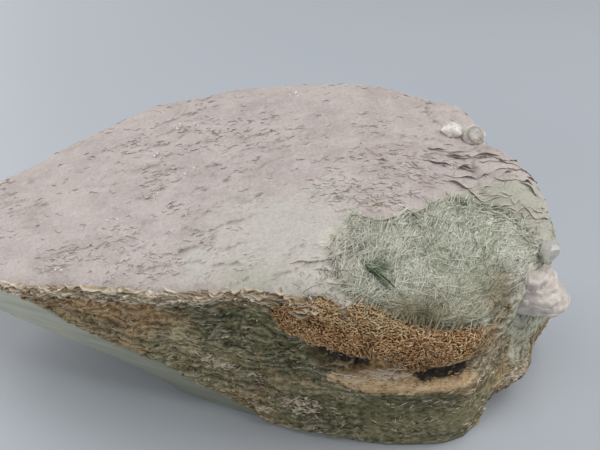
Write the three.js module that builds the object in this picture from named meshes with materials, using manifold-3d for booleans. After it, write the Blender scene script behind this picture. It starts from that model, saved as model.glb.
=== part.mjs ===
// Actinolite specimen: a broken block of pale foliated talc schist that lies on a sawn base.
// A felted mass of actinolite needles fills a shallow lens in its right front shoulder, a cluster
// of dark actinolite blades lies across that felt, and quartz grains and a stack of talc plates
// are seated in the edges of the block. Millimetres, +Z up, +X along the block, -Y to its front.
import * as THREE from "three";
import { ImprovedNoise } from "three/addons/math/ImprovedNoise.js";
import { mergeVertices } from "three/addons/utils/BufferGeometryUtils.js";
import Module from "manifold-3d";

const wasm = await Module();
wasm.setup();

// ---- driving dimensions ----
const heart = new THREE.Vector3(5, -2, 34); // inside the block, where its break faces are seen from
const meshStretch = new THREE.Vector3(100, 62, 38); // evens out the facets over the long block
const meshDetail = 16; // icosahedron subdivisions of the block
const edgeSharpness = 40; // exponent that rounds the edges between break faces
const grain = 0.3; // gap between the pieces that touch

// The layering of the schist: its pole, the thickness of a bed, how far the beds wander from flat
// and stand in and out of a break, and how fast that changes along a bed.
const foliationPole = new THREE.Vector3(-0.14, -0.06, 0.988).normalize();
const bedThickness = 7.5;
const bedWander = { height: 2.2, length: 34 };
const bedStand = { height: 3.6, length: 60 };
const breakSurface = { height: 1.7, lump: 17 }; // the rough surface of every break

// Break faces of the block: a point that each passes through, and the way it faces.
const breakFaces = {
  foliationTop: { at: [19, -54, 57.5], facing: [-0.231, -0.13, 0.964] },
  topRight: { at: [54, 45, 72.6], facing: [0.05, -0.099, 0.993] },
  topBack: { at: [19, 48.4, 73], facing: [0.02, 0.42, 0.9] },
  rightShoulder: { at: [92.6, 1, 64], facing: [0.5, 0.06, 0.86] },
  needleShoulder: { at: [45.7, -53.4, 52.8], facing: [0.162, -0.32, 0.933] },
  frontLeft: { at: [-11.6, -38.5, 10], facing: [-0.268, -0.956, -0.117] },
  frontRight: { at: [45, -55.5, 30], facing: [0.03, -0.999, -0.03] },
  frontToe: { at: [48.8, -53, 0], facing: [0.02, -0.93, -0.37] },
  rightFlank: { at: [88.6, -28.5, 29], facing: [0.76, -0.64, -0.03] },
  rightUnder: { at: [73.5, -46, 0], facing: [0.69, -0.3, -0.65] },
  rightEnd: { at: [96.5, -12, 44], facing: [0.94, 0.05, 0.3] },
  tipCorner: { at: [88, -36, 47], facing: [0.65, -0.45, 0.6] },
  rightBack: { at: [79.5, 20, 62], facing: [0.87, 0.43, 0.2] },
  backCorner: { at: [66, 44, 67], facing: [0.52, 0.8, 0.3] },
  back: { at: [20, 62.5, 40], facing: [0.02, 0.99, 0.13] },
  backUnder: { at: [20, 58, 4], facing: [0.08, 0.8, -0.59] },
  backLeft: { at: [-69, 43.5, 48.5], facing: [-0.52, 0.83, 0.2] },
  leftEnd: { at: [-100, 4, 32], facing: [-0.9, -0.1, 0.42] },
  leftUnder: { at: [-29.2, -25, 6], facing: [-0.29, 0.03, -0.956] },
};

// Two faces were cut with a saw and are flat: the base, and a slanting cut under the left front.
const sawCuts = {
  base: { at: [20, 0, 0], facing: [0, 0, -1] },
  slant: { at: [-71, -24.9, 38.5], facing: [-0.356, -0.854, -0.38] },
};

// Where the surface stands out from its break faces, or is hollowed: centre, half-size, height.
const relief = {
  leftHollow: { at: [22, -50, 35.5], half: [16, 16, 3.6], height: -6 },
  rightHollow: { at: [60, -54, 30.5], half: [17, 16, 3.4], height: -5.5 },
  rustBand: { at: [46, -54, 41.5], half: [34, 14, 5], height: 1.6 },
  rustLens: { at: [50, -54, 25.5], half: [20, 14, 2.8], height: 2.6 },
  greenHollow: { at: [4, -48, 43], half: [14, 14, 8], height: -3 },
  cornerLedge: { at: [84, -36, 14.5], half: [9, 14, 4.5], height: 4.5 },
  rightCrest: { at: [92, -16, 58], half: [8, 12, 9], height: 3 },
};

// The lens of needles, and the blades that lie across it.
const needleLens = { at: [59.5, -35, 57], half: [34, 23, 5], facing: [0.162, -0.32, 0.933], wander: 0.1 };
const bladeCluster = [
  { at: [39.6, -44.9, 57], length: 13, width: 1.6, height: 1.4, heading: -46, pitch: 16 },
  { at: [41, -43.6, 57.2], length: 10, width: 1.4, height: 1.3, heading: -52, pitch: 17 },
  { at: [41.4, -41.4, 57.8], length: 6, width: 2.4, height: 1.4, heading: -70, pitch: 14 },
];

// The plates that have grown together at the right tip, from the lowest up.
const tipPlates = {
  at: [90, -27, 41],
  facing: [0.1, -0.12, 1],
  bevel: 0.5,
  layers: [
    { low: -5, high: -2.4, outline: [[-9, -8], [4, -8.6], [8, -6], [10.6, -1], [8, 8], [-6, 12]] },
    { low: -2.6, high: 0.9, outline: [[-10, -7], [2, -9], [5.4, -6.4], [6.4, 1], [5, 9], [-6, 11]] },
    { low: 0.7, high: 2.9, outline: [[-10, -6], [-1, -7], [4.6, -3.4], [6.2, 4], [2, 8], [-7, 8]] },
    { low: 2.7, high: 6.4, outline: [[-9, -6], [-3, -6.6], [1, -3], [3.2, 2], [-2, 7], [-8, 5]] },
  ],
};

// The two quartz grains at the right end of the crest.
const quartzGrains = {
  quartz_grain_white: { at: [68, 17.5, 69.6], half: [3.3, 2.4, 2.2], lumpiness: 0.5, detail: 1 },
  quartz_grain_grey: { at: [75, 17, 68], half: [3.6, 3.4, 3.4], lumpiness: 0.25, detail: 2 },
};

const lumps = new ImprovedNoise();

/** Three octaves of gradient noise at a point, with lumps of the given size. */
function roughness({ x, y, z }, lump) {
  const octave = (f) => lumps.noise((x * f) / lump, (y * f) / lump, (z * f) / lump) / f;
  return octave(1) + octave(2) + octave(4);
}

/** How far the beds of the schist stand in or out of a face that crosses the layering. */
function bedStep(point) {
  const { x, y, z } = point.clone().divideScalar(bedWander.length);
  const level = (point.dot(foliationPole) + bedWander.height * lumps.noise(x, y, z)) / bedThickness;
  const bed = Math.floor(level);
  const blend = THREE.MathUtils.smoothstep(level - bed, 0.35, 0.65);
  const stand = (n) => bedStand.height * lumps.noise(5.31 * n, 0.5, point.x / bedStand.length);
  return THREE.MathUtils.lerp(stand(bed), stand(bed + 1), blend);
}

/** Distance from the heart of the block to its surface along a unit direction. */
function reach(direction) {
  let sum = 0;
  for (const { at, facing } of Object.values(breakFaces)) {
    const normal = new THREE.Vector3(...facing).normalize();
    const distance = new THREE.Vector3(...at).sub(heart).dot(normal);
    sum += Math.max(0, normal.dot(direction) / distance) ** edgeSharpness;
  }
  return sum ** (-1 / edgeSharpness);
}

/** How far the swells and hollows move the surface at a point. */
function swell(point) {
  let height = 0;
  for (const { at, half, height: peak } of Object.values(relief)) {
    const [dx, dy, dz] = [point.x - at[0], point.y - at[1], point.z - at[2]];
    height += peak * Math.exp(-((dx / half[0]) ** 2) - (dy / half[1]) ** 2 - (dz / half[2]) ** 2);
  }
  return height;
}

/** The geometry's shared vertices merged, as a manifold-3d solid. */
function solidOf(geometry) {
  const bare = new THREE.BufferGeometry().setAttribute("position", geometry.getAttribute("position"));
  if (geometry.index) bare.setIndex(geometry.index);
  const merged = mergeVertices(bare, 1e-4);
  return new wasm.Manifold(
    new wasm.Mesh({
      numProp: 3,
      vertProperties: new Float32Array(merged.attributes.position.array),
      triVerts: new Uint32Array(merged.index.array),
    }),
  );
}

/** A manifold-3d solid as a three.js geometry. */
function geometryOf(solid) {
  const mesh = solid.getMesh();
  const geometry = new THREE.BufferGeometry();
  geometry.setAttribute("position", new THREE.BufferAttribute(new Float32Array(mesh.vertProperties), 3));
  geometry.setIndex(new THREE.BufferAttribute(new Uint32Array(mesh.triVerts), 1));
  const flat = geometry.toNonIndexed();
  flat.computeVertexNormals();
  return flat;
}

/** The rough block before anything is sawn off it or seated in it. */
function brokenBlock() {
  const geometry = new THREE.IcosahedronGeometry(1, meshDetail);
  const position = geometry.getAttribute("position");
  const direction = new THREE.Vector3();
  const point = new THREE.Vector3();
  for (let i = 0; i < position.count; i++) {
    direction.fromBufferAttribute(position, i).multiply(meshStretch).normalize();
    point.copy(heart).addScaledVector(direction, reach(direction));
    const across = 1 - Math.abs(direction.dot(foliationPole));
    const rough = breakSurface.height * roughness(point, breakSurface.lump);
    const out = rough + bedStep(point) * across + swell(point);
    point.addScaledVector(direction, out);
    position.setXYZ(i, point.x, point.y, point.z);
  }
  return solidOf(geometry);
}

/** The rotation that turns +Z to the way that a face looks. */
function turnTo(facing) {
  const up = new THREE.Vector3(0, 0, 1);
  return new THREE.Quaternion().setFromUnitVectors(up, new THREE.Vector3(...facing).normalize());
}

/** A big box whose near face is the saw cut, facing back into the block. */
function sawWaste({ at, facing }) {
  const side = 4 * meshStretch.x; // larger than the whole block
  const box = new THREE.BoxGeometry(side, side, side).translate(0, 0, side / 2);
  return solidOf(box.applyQuaternion(turnTo(facing)).translate(...at));
}

/** A lens-shaped ellipsoid with a wandering outline, grown by a margin on every side. */
function lens({ at, half, facing, wander }, margin = 0, segments = 36) {
  const ball = new THREE.SphereGeometry(1, segments, segments / 2).rotateX(Math.PI / 2);
  const position = ball.getAttribute("position");
  for (let i = 0; i < position.count; i++) {
    const [x, y, z] = [position.getX(i), position.getY(i), position.getZ(i)];
    const wide = 1 + wander * lumps.noise(2 * x + 4.1, 2 * y + 0.7, 5.3);
    const [a, b, c] = [half[0] * wide + margin, half[1] * wide + margin, half[2] + margin];
    position.setXYZ(i, a * x, b * y, c * z);
  }
  ball.applyQuaternion(turnTo(facing)).translate(...at);
  return solidOf(ball);
}

/** A closed outline through corners given as [x, y]. */
function outlineOf(corners) {
  return new THREE.Shape(corners.map(([x, y]) => new THREE.Vector2(x, y)));
}

/** One blade, grown by a margin: a long prism with the flattened six-sided section of amphibole. */
function blade({ at, length, width, height, heading, pitch }, margin) {
  const w = width / 2 + margin;
  const h = height / 2 + margin;
  const flat = 0.45 * w;
  const section = outlineOf([[-w, 0], [-flat, -h], [flat, -h], [w, 0], [flat, h], [-flat, h]]);
  const long = length + 2 * margin;
  const prism = new THREE.ExtrudeGeometry(section, { depth: long, bevelEnabled: false });
  prism.translate(0, 0, -long / 2).rotateX(Math.PI / 2).rotateZ(Math.PI / 2);
  prism.rotateY(THREE.MathUtils.degToRad(pitch)).rotateZ(THREE.MathUtils.degToRad(heading));
  return solidOf(prism.translate(...at));
}

/** The blades grown together, each grown by a margin on every side. */
function bladesTogether(margin = 0) {
  return bladeCluster.map((one) => blade(one, margin)).reduce((all, one) => all.add(one));
}

/** The stack of plates at the right tip, grown by a margin on every side. */
function plateStack({ at, facing, bevel, layers }, margin = 0) {
  const plates = layers.map(({ low, high, outline }) => {
    const plate = new THREE.ExtrudeGeometry(outlineOf(outline), {
      depth: high - low - 2 * bevel + 2 * margin,
      bevelThickness: bevel,
      bevelSize: bevel + margin,
      bevelOffset: -bevel,
      bevelSegments: 1,
    });
    plate.translate(0, 0, low + bevel - margin);
    return solidOf(plate.applyQuaternion(turnTo(facing)).translate(...at));
  });
  return plates.reduce((all, one) => all.add(one));
}

/** A lumpy quartz grain, grown by a margin on every side. */
function quartzGrain({ at, half, lumpiness, detail }, margin = 0) {
  const ball = new THREE.IcosahedronGeometry(1, detail);
  const position = ball.getAttribute("position");
  for (let i = 0; i < position.count; i++) {
    const [x, y, z] = [position.getX(i), position.getY(i), position.getZ(i)];
    const lump = 1 + lumpiness * lumps.noise(1.7 * x + at[0], 1.7 * y + at[1], 1.7 * z + at[2]);
    const [a, b, c] = half.map((size) => size * lump + margin);
    position.setXYZ(i, a * x, b * y, c * z);
  }
  return solidOf(ball.translate(...at));
}

// ---- the pieces ----
let rock = brokenBlock();
for (const cut of Object.values(sawCuts)) rock = rock.subtract(sawWaste(cut));

// Each seated piece takes its own room out of the block, with a gap round it.
const blades = bladesTogether();
const needles = rock.intersect(lens(needleLens)).subtract(bladesTogether(grain));
const tip = plateStack(tipPlates);
let block = rock.subtract(lens(needleLens, grain)).subtract(plateStack(tipPlates, grain));
for (const size of Object.values(quartzGrains)) block = block.subtract(quartzGrain(size, grain));

const finishes = {
  schist: new THREE.MeshStandardMaterial({ color: 0xbdb3ad, roughness: 0.75, metalness: 0 }),
  needles: new THREE.MeshStandardMaterial({ color: 0x9aa08a, roughness: 0.55, metalness: 0 }),
  blades: new THREE.MeshStandardMaterial({ color: 0x3f5136, roughness: 0.3, metalness: 0 }),
  quartz: new THREE.MeshStandardMaterial({ color: 0xd2cdc8, roughness: 0.3, metalness: 0 }),
};

const specimen = new THREE.Group();
specimen.name = "actinolite_specimen";

/** Adds a solid to the specimen as a named mesh. */
function piece(name, solid, finish) {
  const mesh = new THREE.Mesh(geometryOf(solid), finish);
  mesh.name = name;
  specimen.add(mesh);
}

piece("schist_block", block, finishes.schist);
piece("actinolite_needle_mass", needles, finishes.needles);
piece("actinolite_blades", blades, finishes.blades);
piece("quartz_tip", tip, finishes.quartz);
for (const [name, size] of Object.entries(quartzGrains)) piece(name, quartzGrain(size), finishes.quartz);

// The origin is the middle of the specimen's footprint, on the surface that it rests on.
const bounds = new THREE.Box3().setFromObject(specimen, true);
const middle = bounds.getCenter(new THREE.Vector3());
specimen.position.set(-middle.x, -middle.y, -bounds.min.z);

export default specimen;
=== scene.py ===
"""Actinolite specimen: a broken block of pale foliated talc schist on a sawn base.

A felt of green actinolite needles fills a shallow lens in the right front shoulder, dark blades lie
across it, the front is weathered brown and rusty, and pale quartz sits in the edges of the block.
Lengths are millimetres, +X along the block and -Y to its front, until a mesh is made in metres.
"""
import logging
import math
from collections.abc import Callable
from dataclasses import dataclass, field
from enum import Enum
from itertools import product

import bpy
import numpy as np
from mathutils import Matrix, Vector
from mathutils.bvhtree import BVHTree


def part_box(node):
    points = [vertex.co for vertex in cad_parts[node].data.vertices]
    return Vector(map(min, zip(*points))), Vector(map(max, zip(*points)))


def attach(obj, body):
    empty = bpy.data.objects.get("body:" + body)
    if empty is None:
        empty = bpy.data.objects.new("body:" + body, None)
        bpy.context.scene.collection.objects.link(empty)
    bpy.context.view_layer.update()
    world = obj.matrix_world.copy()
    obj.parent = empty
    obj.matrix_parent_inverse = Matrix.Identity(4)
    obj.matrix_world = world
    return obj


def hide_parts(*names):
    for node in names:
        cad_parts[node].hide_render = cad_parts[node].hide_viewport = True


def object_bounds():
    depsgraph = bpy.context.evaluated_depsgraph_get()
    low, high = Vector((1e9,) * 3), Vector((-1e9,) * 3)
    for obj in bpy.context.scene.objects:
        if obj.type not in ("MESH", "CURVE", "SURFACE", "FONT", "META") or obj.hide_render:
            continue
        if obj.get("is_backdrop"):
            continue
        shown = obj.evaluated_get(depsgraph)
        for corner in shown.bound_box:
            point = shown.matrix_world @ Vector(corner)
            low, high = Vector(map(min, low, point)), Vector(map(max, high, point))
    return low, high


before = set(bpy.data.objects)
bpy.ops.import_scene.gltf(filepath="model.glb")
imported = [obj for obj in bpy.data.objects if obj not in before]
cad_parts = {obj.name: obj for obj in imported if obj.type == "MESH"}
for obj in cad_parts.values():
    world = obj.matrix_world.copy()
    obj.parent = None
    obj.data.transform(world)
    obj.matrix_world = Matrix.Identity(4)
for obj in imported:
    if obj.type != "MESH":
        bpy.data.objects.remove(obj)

MM = 0.001  # a millimetre in the frame's metres
BODY = "root"
log = logging.getLogger("actinolite_specimen")


class Slot(Enum):
    """The specimen's material slots."""

    SCHIST = "schist"
    FELT = "actinolite_felt"
    BLADES = "actinolite"
    QUARTZ = "quartz"


# ---- arrays ----


def unit(vectors: np.ndarray) -> np.ndarray:
    """The rows scaled to length one."""
    return vectors / np.maximum(np.linalg.norm(vectors, axis=-1, keepdims=True), 1e-12)


def dot(a: np.ndarray, b: np.ndarray) -> np.ndarray:
    """The dot product of each pair of rows."""
    return (a * b).sum(-1)


def ease(low: float, high: float, value: np.ndarray) -> np.ndarray:
    """0 below low, 1 above high, and a smooth step between them."""
    share = np.clip((value - low) / (high - low), 0, 1)
    return share * share * (3 - 2 * share)


def across(normals: np.ndarray, vectors: np.ndarray) -> np.ndarray:
    """The part of each vector that lies across its normal, at length one."""
    return unit(vectors - dot(vectors, normals)[:, None] * normals)


@dataclass(frozen=True)
class Box:
    """A box of the frame, in millimetres, in which places are given as shares of its sides."""

    low: np.ndarray
    high: np.ndarray

    @classmethod
    def of(cls, corners: tuple[Vector, Vector]) -> "Box":
        """The box between two corners given in metres."""
        return cls(*(np.array(corner) / MM for corner in corners))

    def at(self, *shares: float) -> np.ndarray:
        """The point at these shares of the box's three sides."""
        return self.low + (self.high - self.low) * np.array(shares)


class Noise:
    """Gradient noise and cells in space, the same on every run."""

    def __init__(self, seed: int) -> None:
        """Draws the tables.

        Args:
            seed: The start of the random numbers.
        """
        source = np.random.default_rng(seed)
        self.order = np.tile(source.permutation(256), 3)
        self.slopes = unit(source.normal(size=(256, 3)))
        self.seats = source.random((256, 3))

    def draw(self, cell: np.ndarray) -> np.ndarray:
        """The number from 0 to 255 that belongs to each whole-numbered cell."""
        x, y, z = (cell.astype(np.int64) & 255).T
        return self.order[self.order[self.order[x] + y] + z]

    def smooth(self, points: np.ndarray) -> np.ndarray:
        """Gradient noise from about -1 to 1, with lumps about one unit wide.

        Args:
            points: Rows of three coordinates.

        Returns:
            One value for each row.
        """
        cell = np.floor(points)
        inside = points - cell
        fade = inside**3 * (inside * (inside * 6 - 15) + 10)
        total = np.zeros(len(points))
        for corner in product((0, 1), repeat=3):
            step = np.array(corner)
            slope = self.slopes[self.draw(cell + step)]
            weight = np.where(step, fade, 1 - fade).prod(1)
            total += weight * dot(slope, inside - step)
        return 1.5 * total

    def rough(self, points: np.ndarray, lump: float, octaves: int = 3, shift: float = 0) -> np.ndarray:
        """Noise in several octaves, each half as large and half as high.

        Args:
            points: Rows of three coordinates.
            lump: The width of the largest lumps.
            octaves: How many sizes of lump are added.
            shift: Moves the pattern, so that two of them differ.

        Returns:
            One value for each row.
        """
        scaled = points / lump + shift
        return sum(self.smooth(scaled * 2**k + 7.3 * k) / 2**k for k in range(octaves))

    def plates(self, points: np.ndarray, axis: int) -> tuple[np.ndarray, np.ndarray]:
        """Cells with bulging borders, as thin plates that overlap have.

        Args:
            points: Rows of three coordinates, in cell widths.
            axis: The coordinate along which each plate slopes.

        Returns:
            How far each point lies along that axis from the middle of its plate, and a chance value
            from 0 to 1 that belongs to the plate.
        """
        cell = np.floor(points)
        nearest = np.full(len(points), 9.0)
        along, chance = np.zeros(len(points)), np.zeros(len(points))
        for corner in product((-1, 0, 1), repeat=3):
            number = self.draw(cell + corner)
            away = points - (cell + corner + self.seats[number])
            distance = np.linalg.norm(away, axis=1) - 0.5 * self.seats[number, 0]
            closer = distance < nearest
            nearest = np.where(closer, distance, nearest)
            along = np.where(closer, away[:, axis], along)
            chance = np.where(closer, number / 255, chance)
        return along, chance


NOISE = Noise(seed=11)


@dataclass
class Shape:
    """A mesh in arrays, with the marks that its material reads."""

    points: np.ndarray
    triangles: np.ndarray
    marks: dict[str, np.ndarray] = field(default_factory=dict)

    @classmethod
    def of(cls, mesh: bpy.types.Mesh) -> "Shape":
        """The points and triangles of a Blender mesh."""
        mesh.calc_loop_triangles()
        points = np.empty(3 * len(mesh.vertices), np.float32)
        corners = np.empty(3 * len(mesh.loop_triangles), np.int32)
        mesh.vertices.foreach_get("co", points)
        mesh.loop_triangles.foreach_get("vertices", corners)
        return cls(points.reshape(-1, 3).astype(float) / MM, corners.reshape(-1, 3))

    @classmethod
    def joined(cls, shapes: list["Shape"]) -> "Shape":
        """Several shapes as one mesh, with a mark that one of them lacks at 0."""
        starts = np.cumsum([0] + [len(s.points) for s in shapes[:-1]])
        names = sorted({name for s in shapes for name in s.marks})
        marks = {
            name: np.concatenate([s.marks.get(name, np.zeros(len(s.points))) for s in shapes])
            for name in names
        }
        triangles = np.concatenate([s.triangles + start for s, start in zip(shapes, starts)])
        return cls(np.concatenate([s.points for s in shapes]), triangles, marks)

    def face_vectors(self) -> np.ndarray:
        """The normal of each triangle, with twice its area as its length."""
        a, b, c = (self.points[self.triangles[:, k]] for k in range(3))
        return np.cross(b - a, c - a)

    def normals(self) -> np.ndarray:
        """The normal at each point."""
        faces = self.face_vectors()
        total = np.zeros_like(self.points)
        for k, column in product(range(3), range(3)):
            total[:, column] += np.bincount(self.triangles[:, k], faces[:, column], len(self.points))
        return unit(total)

    def mesh(self, name: str) -> bpy.types.Mesh:
        """The shape as a Blender mesh, in metres, with its marks as attributes.

        Args:
            name: The mesh's name.

        Returns:
            The mesh.
        """
        made = bpy.data.meshes.new(name)
        made.vertices.add(len(self.points))
        made.loops.add(3 * len(self.triangles))
        made.polygons.add(len(self.triangles))
        made.vertices.foreach_set("co", (self.points * MM).astype(np.float32).ravel())
        made.loops.foreach_set("vertex_index", self.triangles.astype(np.int32).ravel())
        made.polygons.foreach_set("loop_start", np.arange(0, 3 * len(self.triangles), 3, dtype=np.int32))
        made.update(calc_edges=True)
        for mark, values in self.marks.items():
            attribute = made.attributes.new(mark, "FLOAT", "POINT")
            attribute.data.foreach_set("value", np.asarray(values, np.float32))
        return made

    def changed(self, kind: str, **settings: object) -> "Shape":
        """The shape after one of Blender's modifiers, without its marks.

        Args:
            kind: The modifier's type.
            **settings: The modifier's values.

        Returns:
            The new shape.
        """
        holder = bpy.data.objects.new("bench", self.mesh("bench"))
        bpy.context.scene.collection.objects.link(holder)
        modifier = holder.modifiers.new("change", kind)
        for name, value in settings.items():
            setattr(modifier, name, value)
        bpy.context.view_layer.update()
        result = holder.evaluated_get(bpy.context.evaluated_depsgraph_get())
        shape = Shape.of(result.to_mesh())
        result.to_mesh_clear()
        mesh = holder.data
        bpy.data.objects.remove(holder)
        bpy.data.meshes.remove(mesh)
        return shape

    def remeshed(self, voxel: float) -> "Shape":
        """One closed skin of even faces over the shape, a voxel wide."""
        return self.changed("REMESH", mode="VOXEL", voxel_size=voxel * MM)

    def thinned(self, triangles: int) -> "Shape":
        """The shape with about this many triangles, the flat parts coarsest."""
        share = min(1.0, triangles / len(self.triangles))
        return self.changed("DECIMATE", ratio=share)


class Web:
    """The edges of a closed mesh, for smoothing values over its surface."""

    def __init__(self, shape: Shape) -> None:
        """Lists the edges of a shape.

        Args:
            shape: A closed shape.
        """
        self.count = len(shape.points)
        self.start = shape.triangles.ravel()
        self.end = np.roll(shape.triangles, -1, 1).ravel()
        self.degree = np.maximum(np.bincount(self.start, minlength=self.count), 1)

    def mean(self, values: np.ndarray) -> np.ndarray:
        """The mean of each point's neighbours."""
        columns = values.reshape(self.count, -1).T
        sums = [np.bincount(self.start, column[self.end], self.count) for column in columns]
        return (np.array(sums) / self.degree).T.reshape(values.shape)

    def smoothed(self, values: np.ndarray, rounds: int) -> np.ndarray:
        """The values after rounds of moving half way to the neighbours' mean."""
        for _ in range(rounds):
            values = 0.5 * (values + self.mean(values))
        return values


@dataclass
class Seats:
    """Places on a surface where small things are set."""

    points: np.ndarray
    normals: np.ndarray
    marks: dict[str, np.ndarray]

    def kept(self, keep: np.ndarray) -> "Seats":
        """Only the seats that a mask or a list of numbers picks."""
        marks = {name: values[keep] for name, values in self.marks.items()}
        return Seats(self.points[keep], self.normals[keep], marks)

    def spaced(self, gap: float) -> "Seats":
        """Only seats that are at least a gap away from every earlier one."""
        chosen: list[int] = []
        for number, point in enumerate(self.points):
            if not chosen or np.abs(self.points[chosen] - point).max(1).min() > gap:
                chosen.append(number)
        return self.kept(np.array(chosen))


class Ground:
    """A finished surface that small things are seated on."""

    def __init__(self, shape: Shape, spread: int) -> None:
        """Prepares a shape.

        Args:
            shape: The surface.
            spread: Rounds of smoothing of its normals, so that seats ignore small bumps.
        """
        self.shape = shape
        self.normals = unit(Web(shape).smoothed(shape.normals(), spread))
        self.areas = np.linalg.norm(shape.face_vectors(), axis=1)
        self.tree = BVHTree.FromPolygons(shape.points.tolist(), shape.triangles.tolist())

    def seats(self, likely: np.ndarray, count: int, rng: np.random.Generator) -> Seats:
        """Random places on the surface.

        Args:
            likely: How likely a place is, at each of the shape's points.
            count: How many places.
            rng: The random numbers.

        Returns:
            The places, with the surface's marks there.
        """
        weight = self.areas * likely[self.shape.triangles].mean(1)
        picked = self.shape.triangles[rng.choice(len(weight), count, p=weight / weight.sum())]
        share = rng.dirichlet((1, 1, 1), count)

        def here(values: np.ndarray) -> np.ndarray:
            """The values at the picked places, between the corners' values."""
            return np.einsum("ij,ij...->i...", share, values[picked])

        marks = {name: here(values) for name, values in self.shape.marks.items()}
        return Seats(here(self.shape.points), unit(here(self.normals)), marks)

    def nearest(self, points: np.ndarray) -> Seats:
        """The places on the surface that are nearest to some points.

        Args:
            points: Rows of three coordinates.

        Returns:
            The places, with the surface's marks there.
        """
        found = [self.tree.find_nearest(point) for point in points.tolist()]
        corner = self.shape.triangles[[hit[2] for hit in found], 0]
        marks = {name: values[corner] for name, values in self.shape.marks.items()}
        return Seats(np.array([hit[0] for hit in found]), self.normals[corner], marks)

    def under(self, points: np.ndarray, ways: np.ndarray, reach: float) -> np.ndarray:
        """How far the surface is from each point, looking along its way.

        Args:
            points: Rows of three coordinates.
            ways: The direction in which each point looks.
            reach: How far it looks, which is the answer where it meets nothing.

        Returns:
            One distance for each point.
        """
        far = []
        for point, way in zip(points.tolist(), ways.tolist()):
            distance = self.tree.ray_cast(point, way, reach)[3]
            far.append(reach if distance is None else distance)
        return np.array(far)


# ---- small shapes that are made many at a time ----


@dataclass(frozen=True)
class Flake:
    """A kind of thin plate, held at its back and free at its front edge. Sizes are ranges."""

    width: tuple[float, float]
    depth: tuple[float, float]
    lift: tuple[float, float]
    thickness: float = 0.16
    columns: int = 5
    rows: int = 3
    lobes: float = 0.22
    wave: float = 0.12
    sink: float = 0.35
    follow: float = 0.5
    taper: float = 0.6

    def grid(self) -> tuple[np.ndarray, np.ndarray, np.ndarray]:
        """The template: places across and along the plate, and the triangles of its closed skin."""
        u, v = np.meshgrid(np.linspace(-1, 1, self.columns), np.linspace(0, 1, self.rows))
        n = self.columns * self.rows
        number = np.arange(n).reshape(self.rows, self.columns)
        a, b = number[:-1, :-1].ravel(), number[:-1, 1:].ravel()
        c, d = number[1:, 1:].ravel(), number[1:, :-1].ravel()
        top = np.concatenate([np.stack([a, b, c], 1), np.stack([a, c, d], 1)])
        rim = np.concatenate([number[0], number[1:, -1], number[-1, -2::-1], number[-2:0:-1, 0]])
        step = np.roll(rim, -1)
        side = np.concatenate([np.stack([rim, rim + n, step], 1), np.stack([step, rim + n, step + n], 1)])
        return u.ravel(), v.ravel(), np.concatenate([top, top[:, ::-1] + n, side])

    def made(
        self, ground: Ground, seats: Seats, outward: np.ndarray, up: np.ndarray, rng: np.random.Generator
    ) -> Shape:
        """One plate at each seat, bent to follow the ground behind its free edge.

        Args:
            ground: The surface below the plates.
            seats: Where the plates are.
            outward: The way that each free edge points.
            up: The way that each plate faces.
            rng: The random numbers.

        Returns:
            All the plates as one shape, with the seats' marks, `rim` for a painted highlight at the free edges and
            `under` for painted shade below.
        """
        u, v, skin = self.grid()
        count, n = len(seats.points), len(u)
        outward = across(up, outward)
        side = np.cross(outward, up)
        width, depth, lift = (
            rng.uniform(*size, (count, 1)) for size in (self.width, self.depth, self.lift)
        )
        turn = rng.uniform(0, 2 * math.pi, (count, 4))
        lobe = self.lobes * np.sin(2.2 * u + turn[:, :1]) + 0.6 * self.lobes * np.sin(5.1 * u + turn[:, 1:2])
        length = np.sqrt(1.02 - 0.8 * np.abs(u) ** 2.6) * (1 + lobe)
        far = depth * (v * length - 0.5)
        wide = 0.5 * width * u * (1 - 0.12 * v) * (1 + 0.15 * np.sin(turn[:, 2:3] + 3 * v))
        place = seats.points[:, None] + far[..., None] * outward[:, None] + wide[..., None] * side[:, None]
        drop = np.zeros((count, n))
        if self.follow:
            reach = 3.0
            start = (place + reach * up[:, None]).reshape(-1, 3)
            drop = reach - ground.under(start, np.repeat(-up, n, axis=0), 2 * reach).reshape(count, n)
            drop = np.clip(drop, -self.follow, 2 * self.follow)
        wave = self.wave * np.sin(3.4 * u + turn[:, 3:4]) * v
        height = drop + (lift + self.sink) * v**1.4 * (1 - self.taper * np.abs(u) ** 3) - self.sink
        height = height + wave * lift
        upper = place + height[..., None] * up[:, None]
        thin = self.thickness * (1.25 - 0.5 * v)
        lower = upper - thin[:, None] * up[:, None]
        points = np.concatenate([upper, lower], 1).reshape(-1, 3)
        triangles = (skin[None] + 2 * n * np.arange(count)[:, None, None]).reshape(-1, 3)
        marks = {name: np.repeat(values, 2 * n) for name, values in seats.marks.items()}
        # rim paints a pale highlight at the free edge; under paints shade on the lower skin
        marks["rim"] = np.tile(ease(0.7, 1.0, np.tile(v, 2)), count)
        marks["under"] = np.tile(np.repeat((0.0, 1.0), n), count)
        return Shape(points, triangles, marks)


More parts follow.
